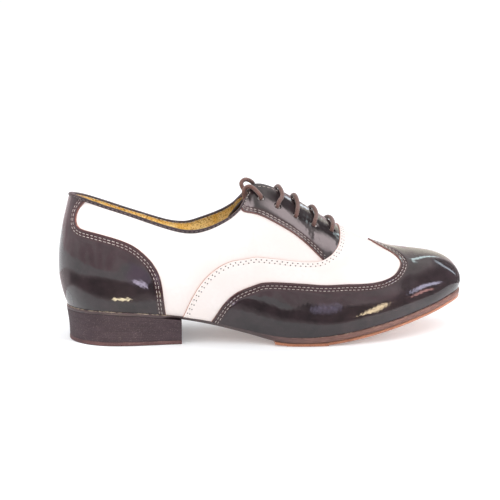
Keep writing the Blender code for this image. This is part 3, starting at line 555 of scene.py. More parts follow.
def panel(seam, far, side, low, high, hand, rows, count, wavy=True, reach=1.0, field=OVERLAY):
    """Grid of a panel on the upper: up its cut edge, over a small round, across to a far line.

    Rows near the edge are the seam moved sideways, by a share reach of each row's distance, with
    their ends kept on the sole line or the ridge; the others run straight from the last of these to
    the far line in (along, up). The panel's top is high at the edge and becomes field further in.
    Returns points, each row's distance from the cut edge (less than zero on the cut) and the
    (along, up) of every point.
    """
    settle, ripple = (5.0, 16.0), (5.0, 12.0)      # where the top becomes field, and waves set in
    near = np.array([inset(seam, side, distance * reach, hand) for distance in rows[:, 0]])
    near[:, [0, -1], 1] = seam[[0, -1], 1]
    share = np.linspace(0.0, 1.0, count)[1:]
    across = (1 - share)[:, None, None] * near[-1] + share[:, None, None] * far
    plan = np.concatenate([near, across])
    along, up = np.moveaxis(plan, -1, 0)
    cut = (rows[:, 1] < 0.95) & (rows[:, 0] < 0.3)
    mark = np.append(np.where(cut, CUT_MARK, rows[:, 0]), rows[-1, 0] + FAR_MARK * share)[:, None]
    height = np.append(rows[:, 1], np.full(count - 1, rows[-1, 1]))[:, None]
    top = field + (high - field) * (1 - ease(mark, *settle))
    lift = low + (top - low) * height
    if wavy:
        lift = lift + swell(along, up, side) * ease(mark, *ripple)
    return skin(along, up, side, lift), np.broadcast_to(mark, along.shape), plan


def grid(points, mark=0.0, loop=False, turn=False):
    """One grid of a mesh, or many alike: rows by columns of points, with a number at each point."""
    mark = np.broadcast_to(mark, points.shape[:-1])
    return {"points": points, "mark": mark, "loop": loop, "turn": turn}


def quads(rows, columns, loop, turn):
    """Corner numbers of the quads between neighbouring rows and columns of a grid."""
    index = np.arange(rows * columns).reshape(rows, columns)
    if loop:
        index = np.concatenate([index, index[:, :1]], 1)
    corners = np.stack([index[:-1, :-1], index[:-1, 1:], index[1:, 1:], index[1:, :-1]], -1)
    corners = corners.reshape(-1, 4)
    return corners[:, ::-1] if turn else corners


def grid_mesh(name, grids, solid=False):
    """Mesh of one or more grids, welded where they meet, smooth but for sharp edges.

    Each point keeps its number as the attribute "mark". A solid's faces are turned outward.
    """
    weld, sliver, sharp = 0.02 * MM, 0.005 * MM, np.radians(55.0)
    points = np.concatenate([one["points"].reshape(-1, 3) for one in grids])
    marks = np.concatenate([one["mark"].reshape(-1) for one in grids])
    faces, start = [], 0
    for one in grids:
        rows, columns = one["points"].shape[-3:-1]
        copies = one["points"].size // (3 * rows * columns)
        corners = quads(rows, columns, one["loop"], one["turn"])
        first = start + np.arange(copies) * rows * columns
        faces.append((corners + first[:, None, None]).reshape(-1, 4))
        start += copies * rows * columns
    faces = np.concatenate(faces)
    mesh = bpy.data.meshes.new(name)
    mesh.vertices.add(len(points))
    mesh.vertices.foreach_set("co", ((points - ORIGIN) * MM).astype(np.float32).ravel())
    mesh.loops.add(faces.size)
    mesh.loops.foreach_set("vertex_index", faces.astype(np.int32).ravel())
    mesh.polygons.add(len(faces))
    mesh.polygons.foreach_set("loop_start", np.arange(0, faces.size, 4, dtype=np.int32))
    mesh.update(calc_edges=True)
    kept = mesh.attributes.new("mark", "FLOAT", "POINT")
    kept.data.foreach_set("value", marks.astype(np.float32))
    shape = bmesh.new()
    shape.from_mesh(mesh)
    bmesh.ops.remove_doubles(shape, verts=shape.verts, dist=weld)
    bmesh.ops.dissolve_degenerate(shape, edges=shape.edges, dist=sliver)
    if solid:
        bmesh.ops.recalc_face_normals(shape, faces=shape.faces)
    shape.to_mesh(mesh)
    shape.free()
    mesh.shade_smooth()
    mesh.set_sharp_from_angle(angle=sharp)
    return mesh


def placed(name, data):
    """Adds an object to the scene, at the origin."""
    thing = bpy.data.objects.new(name, data)
    bpy.context.scene.collection.objects.link(thing)
    return thing


def show(name, grids, material, slot, *nodes, solid=False):
    """Adds a piece: it rides on the shoe, stands for its nodes and takes a finish."""
    mesh = grid_mesh(name, grids, solid)
    mesh.materials.append(material)
    piece = placed(name, mesh)
    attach(piece, "root")
    if nodes:
        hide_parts(*nodes)
    return piece


def faces_inward(points, away):
    """Whether a grid's faces look against the directions away from the shoe at its points."""
    normal = np.cross(np.gradient(points, axis=1), np.gradient(points, axis=0))
    return np.sum(normal * away) < 0


def normals(at, side):
    """Directions out of the upper's surface at points (along, up)."""
    along, up = np.moveaxis(at, -1, 0)
    return skin(along, up, side, 1.0) - skin(along, up, side, 0.0)


def smooth_route(points, count):
    """Even points on a spline through a cord's own points, and the cord's length."""
    rough = travelled(points)
    fine = np.linspace(0.0, rough[-1], 1500)
    curve = np.stack([spline(rough, column, fine) for column in points.T], 1)
    run = travelled(curve)
    return read(np.linspace(0.0, run[-1], count), run, curve), run[-1]


# Materials. Leather grain, thread plies, lace fibres, specks and nap are too fine to show in the
# render, so they are drawn coarser than they are, 0.35 to 1.1 mm across.

def colour(text):
    """sRGB hex to linear red, green, blue and alpha."""
    part = np.array([int(text[k:k + 2], 16) for k in (1, 3, 5)]) / 255.0
    linear = np.where(part <= 0.04045, part / 12.92, ((part + 0.055) / 1.055) ** 2.4)
    return (*linear.tolist(), 1.0)


def node(tree, kind, output, inputs=None, **settings):
    """Adds a node with its settings and returns an output; inputs are values or sockets to link."""
    made = tree.nodes.new("ShaderNode" + kind)
    for name, value in settings.items():
        setattr(made, name, value)
    for name, value in (inputs or {}).items():
        if isinstance(value, bpy.types.NodeSocket):
            tree.links.new(value, made.inputs[name])
        else:
            made.inputs[name].default_value = value
    return made.outputs[output]


def per(size):
    """Texture scale for features about this many millimetres across."""
    return 1 / (size * MM)


def tones(tree, pattern, low, high, *ends):
    """Colour between two ends, hex or another colour, as a pattern goes from low to high."""
    first, last = [colour(end) if isinstance(end, str) else end for end in ends]
    share = node(tree, "MapRange", 0, {"Value": pattern, "From Min": low, "From Max": high})
    return node(tree, "Mix", 2, {0: share, 6: first, 7: last}, data_type="RGBA")


def surface(name, **constants):
    """A new material with constant settings, its nodes, Object coordinates and the piece's mark."""
    material = bpy.data.materials.new(name)
    material.use_nodes = True
    tree = material.node_tree
    for key, value in constants.items():
        tree.nodes["Principled BSDF"].inputs[key.replace("_", " ")].default_value = value
    place = node(tree, "TexCoord", "Object")
    mark = node(tree, "Attribute", "Fac", attribute_name="mark")
    return material, tree, place, mark


def linked(material, **results):
    """The material, with results of its nodes joined to the inputs of its shader."""
    tree = material.node_tree
    for key, value in results.items():
        tree.links.new(value, tree.nodes["Principled BSDF"].inputs[key.replace("_", " ")])
    return material


def white_calf(name, cut_colour):
    """Drum-dyed white calf, lightly pressed: soft sheen, fine pebbling, faint peach clouds."""
    material, tree, place, mark = surface(name, Roughness=0.46, Specular_IOR_Level=0.4)
    cloud = node(tree, "TexNoise", "Fac", {"Vector": place, "Scale": per(38.0)})
    fine = node(tree, "TexNoise", "Fac", {"Vector": place, "Scale": per(2.2), "Detail": 4.0})
    tint = tones(tree, cloud, 0.35, 0.72, "#ece0da", "#f2ecea")
    base = tones(tree, fine, 0.2, 0.85, "#e8dfdb", tint)
    cut = tones(tree, mark, -0.2, 0.1, cut_colour, base)
    grain = node(tree, "TexVoronoi", "Distance", {"Vector": place, "Scale": per(0.85)})
    drape = node(tree, "TexNoise", "Fac", {"Vector": place, "Scale": per(7.0), "Detail": 3.0})
    pebble = node(tree, "Bump", 0, {"Height": grain, "Strength": 0.22, "Distance": 0.12 * MM})
    bent = node(tree, "Bump", 0, {"Height": drape, "Strength": 0.25, "Distance": 0.25 * MM,
                                  "Normal": pebble})
    return linked(material, Base_Color=cut, Normal=bent)


def patent(name):
    """Dark brown leather under a clear lacquer: deep colour, mirror gloss, dust below the coat."""
    material, tree, place, mark = surface(name, Coat_Weight=1.0, Coat_Roughness=0.06, Coat_IOR=1.55,
                                          Specular_IOR_Level=0.12)
    cloud = node(tree, "TexNoise", "Fac", {"Vector": place, "Scale": per(11.0), "Detail": 5.0})
    speck = node(tree, "TexVoronoi", "Distance", {"Vector": place, "Scale": per(1.6)})
    deep = tones(tree, cloud, 0.3, 0.75, "#180f12", "#302226")
    dusty = tones(tree, speck, 0.05, 0.15, "#3a2e31", deep)
    sewn = tones(tree, mark, 3.6, 6.0, "#32181b", dusty)
    cut = tones(tree, mark, -0.2, 0.1, "#6e4238", sewn)
    dull = node(tree, "MapRange", 0, {"Value": mark, "From Min": -0.2, "From Max": 0.1,
                                      "To Min": 0.85, "To Max": 0.5})
    peel = node(tree, "TexNoise", "Fac", {"Vector": place, "Scale": per(1.4)})
    rippled = node(tree, "Bump", 0, {"Height": peel, "Strength": 0.22, "Distance": 0.05 * MM})
    return linked(material, Base_Color=cut, Roughness=dull, Normal=rippled)


def soft_kid(name, first, last, deep, gloss, grain_size):
    """Thin soft leather for binding, tongue and lining: satin, darker in the grain, wrinkled."""
    material, tree, place, _ = surface(name, Roughness=gloss, Specular_IOR_Level=0.4)
    cloud = node(tree, "TexNoise", "Fac", {"Vector": place, "Scale": per(9.0), "Detail": 4.0})
    grain = node(tree, "TexVoronoi", "Distance", {"Vector": place, "Scale": per(grain_size)})
    tint = tones(tree, cloud, 0.3, 0.72, first, last)
    base = tones(tree, grain, 0.5, 0.95, tint, deep)
    fold = node(tree, "TexNoise", "Fac", {"Vector": place, "Scale": per(5.0), "Detail": 4.0,
                                          "Roughness": 0.65})
    pebble = node(tree, "Bump", 0, {"Height": grain, "Strength": 0.3, "Distance": 0.12 * MM})
    bent = node(tree, "Bump", 0, {"Height": fold, "Strength": 0.35, "Distance": 0.5 * MM,
                                  "Normal": pebble})
    return linked(material, Base_Color=base, Normal=bent)


def spun_thread(name, first, last):
    """Waxed linen thread: matt, with the lighter and darker plies of its twist."""
    material, tree, place, _ = surface(name, Roughness=0.6, Sheen_Weight=0.2)
    ply = node(tree, "TexNoise", "Fac", {"Vector": place, "Scale": per(0.7)})
    return linked(material, Base_Color=tones(tree, ply, 0.35, 0.65, first, last))


def braided_cotton(name):
    """Round braided cotton lace: brown yarns, with painted shade in the gaps between the crossings.
    """
    material, tree, place, mark = surface(name, Roughness=0.72, Sheen_Weight=0.35,
                                          Sheen_Roughness=0.5)
    yarn = node(tree, "TexNoise", "Fac", {"Vector": place, "Scale": per(0.9), "Detail": 3.0})
    fibre = node(tree, "TexNoise", "Fac", {"Vector": place, "Scale": per(0.35), "Detail": 3.0})
    brown = tones(tree, yarn, 0.3, 0.7, "#573931", "#7e584d")
    fuzz = node(tree, "Bump", 0, {"Height": fibre, "Strength": 0.4, "Distance": 0.08 * MM})
    # painted shade: the mark is the crossing height, and the low gaps between crossings are
    # darkened
    return linked(material, Base_Color=tones(tree, mark, 0.12, 0.62, "#2c1b18", brown), Normal=fuzz)


def stained_sole(name):
    """Edge-stained sole leather: dark at the heel, red brown at the toe, and a pale painted
    highlight, broken up, along the top corner.

    The number kept at each point is the distance below the sole's top corner, in millimetres, and
    over 9 on the underside, which is bare tan leather.
    """
    material, tree, place, mark = surface(name, Roughness=0.45, Coat_Weight=0.15,
                                          Coat_Roughness=0.3)
    along = node(tree, "SeparateXYZ", "X", {"Vector": place})
    laid = node(tree, "Mapping", 0, {"Vector": place, "Scale": (0.25, 0.25, 1.6)})
    fibre = node(tree, "TexNoise", "Fac", {"Vector": laid, "Scale": per(1.3), "Detail": 4.0})
    wear_and_glint = node(tree, "TexNoise", "Fac", {"Vector": place, "Scale": per(3.0), "Detail": 3.0})
    front = tones(tree, fibre, 0.3, 0.7, "#583831", "#7c564b")
    back = tones(tree, fibre, 0.3, 0.7, "#3a2c2d", "#4c3b3c")
    edge = tones(tree, along, -0.012, 0.03, back, front)
    # painted highlight at the heel seat: broken pale patches for the top corner
    pale = tones(tree, wear_and_glint, 0.42, 0.6, edge, "#d9c7ab")
    seat = tones(tree, along, -0.075, -0.068, pale, edge)
    # painted highlight in front of the seat: broken pale patches for the top corner
    corner_glint = tones(tree, wear_and_glint, 0.5, 0.75, edge, "#b59a84")
    line = tones(tree, along, -0.01, 0.03, seat, corner_glint)
    # the top face and the top corner take the painted highlight, and the edge below keeps its stain
    corner = tones(tree, mark, 0.08, 0.35, line, edge)
    tan = tones(tree, wear_and_glint, 0.3, 0.7, "#8c6650", "#a67d63")
    rough = node(tree, "Bump", 0, {"Height": fibre, "Strength": 0.25, "Distance": 0.15 * MM})
    return linked(material, Base_Color=tones(tree, mark, 9.0, 9.5, corner, tan), Normal=rough)


def napped_suede(name):
    """Chrome-tanned suede: tan nap without gloss, lighter and darker where it has been brushed."""
    material, tree, place, _ = surface(name, Roughness=0.95, Sheen_Weight=0.4, Sheen_Roughness=0.6,
                                       Specular_IOR_Level=0.15)
    brushed = node(tree, "TexNoise", "Fac", {"Vector": place, "Scale": per(11.0), "Detail": 3.0})
    nap = node(tree, "TexNoise", "Fac", {"Vector": place, "Scale": per(0.6), "Detail": 3.0})
    tan = tones(tree, brushed, 0.3, 0.7, "#824831", "#a4674b")
    fuzz = node(tree, "Bump", 0, {"Height": nap, "Strength": 0.6, "Distance": 0.3 * MM})
    return linked(material, Base_Color=tones(tree, nap, 0.35, 1.1, tan, "#c88f6d"), Normal=fuzz)


def heel_stain(name, first, last, pale):
    """Leather board or rubber under a matt stain: cloudy, with fine pale specks."""
    material, tree, place, _ = surface(name, Roughness=0.62, Specular_IOR_Level=0.3)
    laid = node(tree, "Mapping", 0, {"Vector": place, "Scale": (0.5, 0.5, 1.5)})
    cloud = node(tree, "TexNoise", "Fac", {"Vector": laid, "Scale": per(6.0), "Detail": 4.0})
    speck = node(tree, "TexNoise", "Fac", {"Vector": place, "Scale": per(0.55)})
    stain = tones(tree, cloud, 0.3, 0.72, first, last)
    rough = node(tree, "Bump", 0, {"Height": speck, "Strength": 0.35, "Distance": 0.12 * MM})
    return linked(material, Base_Color=tones(tree, speck, 0.56, 0.85, stain, pale), Normal=rough)


WHITE_QUARTER = white_calf("white_calf_quarter", "#cf9a86")
WHITE_VAMP = white_calf("white_calf_vamp", "#b9826e")
PATENT = patent("patent_leather_brown")
BINDING = soft_kid("folded_binding_leather", "#241b1d", "#3a2d2f", "#1a1315", 0.42, 0.9)
TONGUE_KID = soft_kid("tongue_leather", "#1d1517", "#2f2427", "#150f11", 0.48, 1.1)
GOLD_LINING = soft_kid("gold_lining_leather", "#e8bd5c", "#f8e8ae", "#9c6c22", 0.42, 0.9)
PALE_THREAD = spun_thread("pale_waxed_thread", "#8f827c", "#d2c5be")
GOLD_THREAD = spun_thread("pale_gold_waxed_thread", "#cdb99a", "#f0e2c6")
DIM_THREAD = spun_thread("brown_waxed_thread", "#4b3f40", "#7d6f6c")
WHITE_THREAD = spun_thread("white_waxed_thread", "#e6dbd4", "#fbf5f1")
# painted shade of the needle holes, made in the thread's material
NEEDLE_HOLE_SHADE = spun_thread("needle_hole_shadow", "#2a201f", "#453836")
LACE_COTTON = braided_cotton("braided_cotton_lace")
SOLE_EDGE = stained_sole("edge_stained_sole_leather")
SUEDE_NAP = napped_suede("napped_sole_suede")
HEEL_BOARD = heel_stain("stained_heel_board", "#382b2f", "#44353a", "#7a6768")
TOP_RUBBER = heel_stain("heel_top_rubber", "#51393a", "#664846", "#8a6c66")


# Camera, floor and light

def camera():
    """Pinhole at the photograph's place, turned toward the toe and tipped down."""
    lens = bpy.data.cameras.new("camera")
    lens.sensor_width = SENSOR
    lens.lens = FOCAL_PIXELS / PICTURE_PIXELS * SENSOR
    lens.clip_start = 0.01
    eye = placed("camera", lens)
    eye.location = (EYE - ORIGIN) * MM
    eye.rotation_euler = np.radians([90.0 - PITCH, 0.0, -YAW])
    bpy.context.scene.camera = eye


def stage_sheet(name, points, mark, material, seen=False):
    """Part of the studio, not of the shoe: a grid of points in metres.

    Unless it is to be seen, it is kept out of sight and shade and shows in reflections alone.
    """
    mesh = grid_mesh(name, [grid(points / MM + ORIGIN, mark)])
    mesh.materials.append(material)
    sheet = placed(name, mesh)
    sheet.visible_camera = sheet.visible_diffuse = sheet.visible_shadow = seen


def glowing(name, strength, **constants):
    """A sheet that gives light of its own colour and reflects none."""
    return surface(name, Base_Color=colour("#000000"), Specular_IOR_Level=0.0,
                   Emission_Strength=strength, **constants)


def mirrored(first, last, half, lift, distance):
    """Sheet seen mirrored in a strip of the lateral side, and each point's nearness to its middle.

    A ray v from the eye leaves a surface with normal n along v - 2 (v.n) n, and is followed for a
    distance.
    """
    length, width = np.linspace(-1.0, 1.0, 32)[:, None], np.linspace(-1.0, 1.0, 12)
    along, up = np.linspace(first, last, len(length)).T[..., None]
    at = np.stack(np.broadcast_arrays(along, up + half * width), -1)
    points = skin(at[..., 0], at[..., 1], LATERAL, lift)
    normal = normals(at, LATERAL)
    ray = unit(points - EYE)
    middle = (1 - width ** 2) * (1 - length ** 4)
    return points + distance * (ray - 2 * np.sum(ray * normal, -1, keepdims=True) * normal), middle


def cloth_points():
    """Dark cloth round a white sheet of paper, as points in metres and darkness.

    The inner and outer edges are ellipses, the inner one wider beside the toe. In front of the shoe
    and beside the toe the outer edge goes to 1.5 m and rises, by 10 degrees in front and 48 beside
    the toe. The darkness fades out at the edges and behind the shoe.
    """
    far, rim = 1.5, 0.03
    turn = np.linspace(-np.pi, np.pi, 145)
    wide = ease(turn, -1.74, -1.34) * (1 - ease(turn, 0.5, 0.8))
    rise = np.radians(10.0 + 38.0 * ease(turn, -0.8, -0.4)) * wide
    inner, outer = [1 / np.hypot(np.cos(turn) / long, np.sin(turn) / short)
                    for long, short in ((0.24, 0.095), (0.40, 0.250))]
    inner = inner * (1 + 0.4 * ease(turn, -1.0, -0.6) * (1 - ease(turn, 0.4, 0.8)))
    outer = outer + (far - outer) * wide
    share = np.stack([0 * turn, rim / (outer - inner), 0.65 + 0 * turn] + 3 * [1 + 0 * turn])
    radius = inner + (outer - inner) * share
    climb = np.array([0.0, 0.0, 0.0, 0.0, 0.75, 1.0])[:, None]
    height = climb * outer * np.tan(rise) + 0.001
    dark = np.stack([0 * turn, 1 + 0 * turn, 1 + 0 * turn, wide, wide, 0 * turn])
    dark = dark * (1 - ease(turn, 1.0, 1.4) * (1 - ease(turn, 3.0, 3.14)))
    return np.stack([radius * np.cos(turn), radius * np.sin(turn), height], -1), dark


def dome_points(radius):
    """Half sphere over the floor."""
    turn, rise = np.meshgrid(np.linspace(0.0, 2 * np.pi, 97), np.linspace(0.0, np.pi / 2, 25))
    return radius * np.stack([np.cos(turn) * np.cos(rise), np.sin(turn) * np.cos(rise),
                              np.sin(rise)], -1)


def soft_spot(name, power, place, target, cone):
    """Small soft lamp on one area, in metres and degrees; the lacquer doesn't mirror it."""
    lamp = bpy.data.lights.new(name, "SPOT")
    lamp.energy = power
    lamp.shadow_soft_size = 0.05
    lamp.spot_size, lamp.spot_blend = np.radians(cone), 1.0
    spot = placed(name, lamp)
    spot.location = place
    spot.rotation_euler = (Vector(target) - spot.location).to_track_quat("-Z", "Y").to_euler()
    spot.visible_glossy = False


def make_sheets():
    """White floor, and the cloth, walls and lit cards that only the lacquer mirrors."""
    paper, tree, place, _ = surface("pale_paper", Roughness=0.9, Specular_IOR_Level=0.1,
                                    Emission_Strength=0.24, Emission_Color=colour("#fafcff"))
    cloud = node(tree, "TexNoise", "Fac", {"Vector": place, "Scale": per(400.0)})
    linked(paper, Base_Color=tones(tree, cloud, 0.2, 0.8, "#e6e7e8", "#eaebec"))
    x, y = np.meshgrid((-6.0, 6.0), (-6.0, 6.0))
    stage_sheet("floor", np.stack([x, y, 0 * x - 0.0002], -1), 0.0, paper, seen=True)
    cloth, tree, place, mark = glowing("dark_cloth", 1.0)
    weave = node(tree, "TexNoise", "Fac", {"Vector": place, "Scale": per(90.0), "Detail": 4.0})
    dark = tones(tree, weave, 0.3, 0.7, "#5a5456", "#8c8486")
    linked(cloth, Emission_Color=tones(tree, mark, 0.0, 1.0, "#f2e4e6", dark))
    stage_sheet("dark_cloth", *cloth_points(), cloth)
    room, tree, place, _ = glowing("room_walls", 1.4)
    height = node(tree, "SeparateXYZ", "Z", {"Vector": place})
    cloud = node(tree, "TexNoise", "Fac", {"Vector": place, "Scale": per(420.0), "Detail": 4.0})
    walls = tones(tree, cloud, 0.35, 0.65, "#dcbcc4", "#fff0f2")
    linked(room, Emission_Color=tones(tree, height, 1.3, 1.8, walls, "#dbdad6"))
    stage_sheet("room_walls", dome_points(2.2), 0.0, room)
    for name, first, last, half, lift, distance, tint, strength, bare, lit in CARDS:
        card, tree, place, mark = glowing(name + "_glow", strength, Emission_Color=colour(tint))
        patch = node(tree, "TexNoise", "Fac", {"Vector": place, "Scale": per(distance / 40.0),
                                               "Detail": 4.0, "Roughness": 0.7})
        shape = node(tree, "Math", 0, {0: mark, 1: patch}, operation="MULTIPLY")
        shown = node(tree, "MapRange", 0, {"Value": shape, "From Min": bare, "From Max": lit})
        linked(card, Alpha=shown)
        points, middle = mirrored(first, last, half, lift, distance)
        stage_sheet(name, (points - ORIGIN) * MM, middle, card)


def make_light():
    """White surround, a wide soft sun and the small lamps."""
    scene = bpy.context.scene
    scene.view_settings.view_transform = "Standard"
    scene.world = bpy.data.worlds.new("white_surround")
    scene.world.use_nodes = True
    tree = scene.world.node_tree
    height = node(tree, "SeparateXYZ", "Z", {"Vector": node(tree, "TexCoord", "Generated")})
    sky = tones(tree, height, 0.0, 0.9, (1.05, 1.06, 1.07, 1.0), (0.95, 0.96, 0.98, 1.0))
    tree.links.new(sky, tree.nodes["Background"].inputs["Color"])
    sun = bpy.data.lights.new("sky", "SUN")
    sun.energy, sun.angle, sun.color = 0.9, np.radians(60.0), (1.0, 0.98, 0.96)
    placed("sky", sun).rotation_euler = np.radians([28.0, 0.0, -26.6])
    for lamp in LAMPS:
        soft_spot(*lamp)


# Laces

def tube(path, guide):
    """Braided cord: a circle carried along a path, raised where yarns cross.

    The yarns are two families of helices; the height is the mean of their cosines' sizes. guide is
    a direction that the path never follows, from which each circle's start is measured. At both
    ends the radius falls to nothing along a quarter circle.
    """
    radius = LACE / 2
    core, relief = 0.86, 0.16            # radius between the crossings, and their height, as shares
    run = travelled(path)
    travel = unit(np.gradient(path, axis=0))
    first = unit(guide - (travel @ guide)[:, None] * travel)
    second = np.cross(travel, first)
    yarns, corners = 4, 28
    turn = np.linspace(0.0, 2 * np.pi, corners, endpoint=False)
    phase = run[:, None] * (np.pi / YARN)
    weave = (np.abs(np.cos(yarns * turn + phase)) + np.abs(np.cos(yarns * turn - phase))) / 2
    rim = np.clip(np.minimum(run, run[-1] - run) / radius, 0, 1)
    size = radius * (core + relief * weave)
    size = size * np.sqrt(np.clip(1 - (1 - rim) ** 2, 0.0, 1.0))[:, None]
    ring = np.cos(turn)[:, None] * first[:, None] + np.sin(turn)[:, None] * second[:, None]
    # the crossing height is kept as the mark, which the lace's material turns into painted shade in
    # the gaps
    return [grid(path[:, None] + size[..., None] * ring, weave, loop=True)]


def make_laces():
    """Bars through each pair of holes, and the two loose ends."""
    for number, lean in enumerate(BAR_LEAN, 1):
        along, up = EYELETS[number - 1]
        route = []
        for side in SIDES:
            share, leaning, lift = BAR[BAR[:, 0] == side, 1:].T
            route.append(skin(along + lean * leaning, up + share * (1 - up), side, lift))
        path, _ = smooth_route(np.concatenate(route), count=260)
        show("lace_bar_%d" % number, tube(path, np.array([1.0, 0.0, 0.0])), LACE_COTTON,
             "lace_cord", "lace_%d" % number, solid=True)
    along, up = EYELETS[-1]
    for side, name in ((LATERAL, "lace_end_lateral"), (MEDIAL, "lace_end_medial")):
        hole = skin(along, up, side, [-1.6, 0.2, 1.8])
        path, length = smooth_route(np.concatenate([hole, LACE_ENDS[name]]), count=301)
        piece = show("hanging_" + name, tube(path, np.array([0.2, 1.0, 0.0])), LACE_COTTON,
                     "lace_cord", name, solid=True)


# Upper

def make_quarters():
    """White quarters from heel to throat, and the gold lining all the way inside."""
    for name, stations, lift, material, slot in (
            ("quarters", np.linspace(8.0, 222.0, 170), 0.0, WHITE_QUARTER, "white_leather"),
            ("lining", np.linspace(0.0, 292.0, 190), -WALL, GOLD_LINING, "lining_leather")):
        at = np.stack(np.meshgrid(stations, np.linspace(0.0, 1.0, 64), indexing="ij"), -1)
        sheets = []
        for side in SIDES:
            points = skin(at[..., 0], at[..., 1], side, lift)
            turn = faces_inward(points, normals(at, side)) != (lift < 0)
            sheets.append(grid(points, PLAIN_MARK, turn=turn))
        show(name, sheets, material, slot, "upper")


def laid_panel(seam, far, side, **build):
    """Grid of a panel with its faces outward."""
    points, mark, at = panel(seam, far, side, **build)
    return grid(points, mark, turn=faces_inward(points, normals(at, side)))


def far_line(table, seam):
    """Ends of a panel's lines, read from its table at even shares of the seam."""
    return read(np.linspace(0.0, 1.0, len(seam)), table[:, 0], table[:, 1:])


def edge_line(first, last, count):
    """Line along the upper's top edge, as (along, up)."""
    return np.stack([np.linspace(first, last, count), np.ones(count)], 1)


def throat_lift(along):
    """Top of the vamp's edge, which climbs onto the ends of the eyestays."""
    climb = (182.0, 193.0)
    return OVERLAY + THROAT_LIFT * ease(along, *climb)


def make_panels():
    """Counter, vamp and wing on both sides, each with its cut edge and sewn rows."""
    counter, wing, vamp = [], [], []
    overlap = 5.0                        # vamp under the wing
    for side in SIDES:
        seam = even_line(COUNTER_SEAM, side, count=240)
        counter.append(laid_panel(seam, far_line(COUNTER_FAR, seam), side, low=0.0, high=OVERLAY,
                                  hand=1, rows=EDGE_ROWS, count=70))
        seam = even_line(WING_SEAM, side, count=360)
        wing.append(laid_panel(seam, far_line(WING_FAR, seam), side, low=OVERLAY - GAP,
                               high=WING_LIFT, hand=-1, rows=EDGE_ROWS, count=80, field=WING_LIFT))
        under_wing = inset(seam, side, overlap, -1)
        under_wing[-1, 1] = 1.0
        seam = even_line(VAMP_SEAM, side, count=360)
        vamp.append(laid_panel(seam, under_wing, side, low=0.0, high=throat_lift(seam[:, 0]),
                               hand=-1, rows=VAMP_ROWS, count=60, wavy=False))
    show("counter_panel", counter, PATENT, "patent_leather", "counter")
    show("wing_panel", wing, PATENT, "patent_leather", "wingtip")
    show("vamp_panel", vamp, WHITE_VAMP, "white_leather", "vamp")


def make_eyestays():
    """Facings: from the curved seam up to the throat, folded over its edge, with punched holes.

    A hole is a well in the surface: the lift falls by a smooth step at the hole's radius.
    """
    sewn, tucked, fade = 170, 80, 20     # points on the seam, under the vamp, and between the two
    overlap, tuck_start = 1.6, 192.0     # facing's end under the vamp, and where that starts
    rim = EYELET / 2 + np.array([-0.35, 0.3])
    front = VAMP_SEAM[VAMP_SEAM[:, 0] > tuck_start]
    fold = np.array([
        # lift, bulge over the facing's edge
        [0.9, 0.25], [0.2, 0.5], [-1.0, 0.55], [-1.8, 0.3], [-WALL, 0.0],
    ])
    for side, name in ((LATERAL, "eyestay_lateral"), (MEDIAL, "eyestay_medial")):
        under_vamp = inset(even_line(front, side, tucked), side, overlap, -1)
        seam = np.concatenate([even_line(EYESTAY_SEAM, side, sewn), under_vamp])
        reach = 1 - ease(np.arange(len(seam)), sewn - fade, sewn)
        points, mark, at = panel(seam, edge_line(*FACING_EDGE, len(seam)), side, low=0.0,
                                 high=OVERLAY, hand=1, rows=VAMP_ROWS, count=92, reach=reach)
        out = normals(at, side)
        centre = skin(*EYELETS.T, side, OVERLAY)
        distance = np.linalg.norm(points[:, :, None] - centre, axis=-1).min(-1)
        well = 1 - ease(distance, *rim)
        points = points - EYELET_DEPTH * well[..., None] * out
        turn = faces_inward(points, out)
        along = at[-1, :, 0]
        onward = unit(section_slope(along, np.ones_like(along), side))
        over = [skin(along, 1.0, side, lift) + bulge * onward for lift, bulge in fold]
        points = np.concatenate([points, over])
        mark = np.concatenate([np.where(well > 0.5, WELL_MARK, mark),
                               np.full((len(fold), len(seam)), FAR_MARK)])
        show(name + "_panel", [grid(points, mark, turn=turn)], PATENT, "patent_leather", name)


def collar_lift(along):
    """Height of the leather under the binding: counter, quarter, then eyestay."""
    counter_end, eyestay_start = (20.0, 34.0), (130.0, 135.0)
    return OVERLAY * (1 - ease(along, *counter_end) + ease(along, *eyestay_start))


def make_binding():
    """Folded strip over the collar: a round-topped channel carried round the edge.

    Its outer leg lies on whatever panel is there; depth and lift are measured from the edge.
    """
    depth, share, away = np.array([
        # depth below the edge, share from outer leg (0) to inner leg (1), swell away from the wall
        [1.7, 0.0, -0.05], [1.65, 0.0, 0.3], [1.1, 0.0, 0.45], [0.5, 0.0, 0.46], [0.1, 0.0, 0.38],
        [-0.3, 0.12, 0.22], [-0.6, 0.32, 0.0], [-0.68, 0.5, 0.0], [-0.6, 0.68, 0.0],
        [-0.3, 0.88, -0.22], [0.1, 1.0, -0.36], [0.3, 1.0, -0.4], [0.5, 1.0, -0.4],
        [0.65, 1.0, -0.3], [0.7, 1.0, 0.05],
    ]).T
    stations = np.concatenate([np.linspace(0.0, 40.0, 50), np.linspace(41.0, COLLAR_END, 110)])
    lift = collar_lift(stations)[:, None] * (1 - share) - WALL * share + away
    grids = []
    for side in SIDES:
        edge = skin(stations, 1.0, side)
        down = unit(skin(stations, 0.95, side) - edge)
        normal = unit(skin(stations, 1.0, side, 1.0) - edge)
        points = edge[:, None] + depth[:, None] * down[:, None] + lift[..., None] * normal[:, None]
        turn = faces_inward(points, points - (edge - WALL / 2 * normal)[:, None])
        end = np.repeat(points[-1:].mean(1, keepdims=True), len(depth), 1)
        grids.append(grid(np.concatenate([points, end]), turn=turn))
    show("binding", grids, BINDING, "binding_leather", "collar_binding")


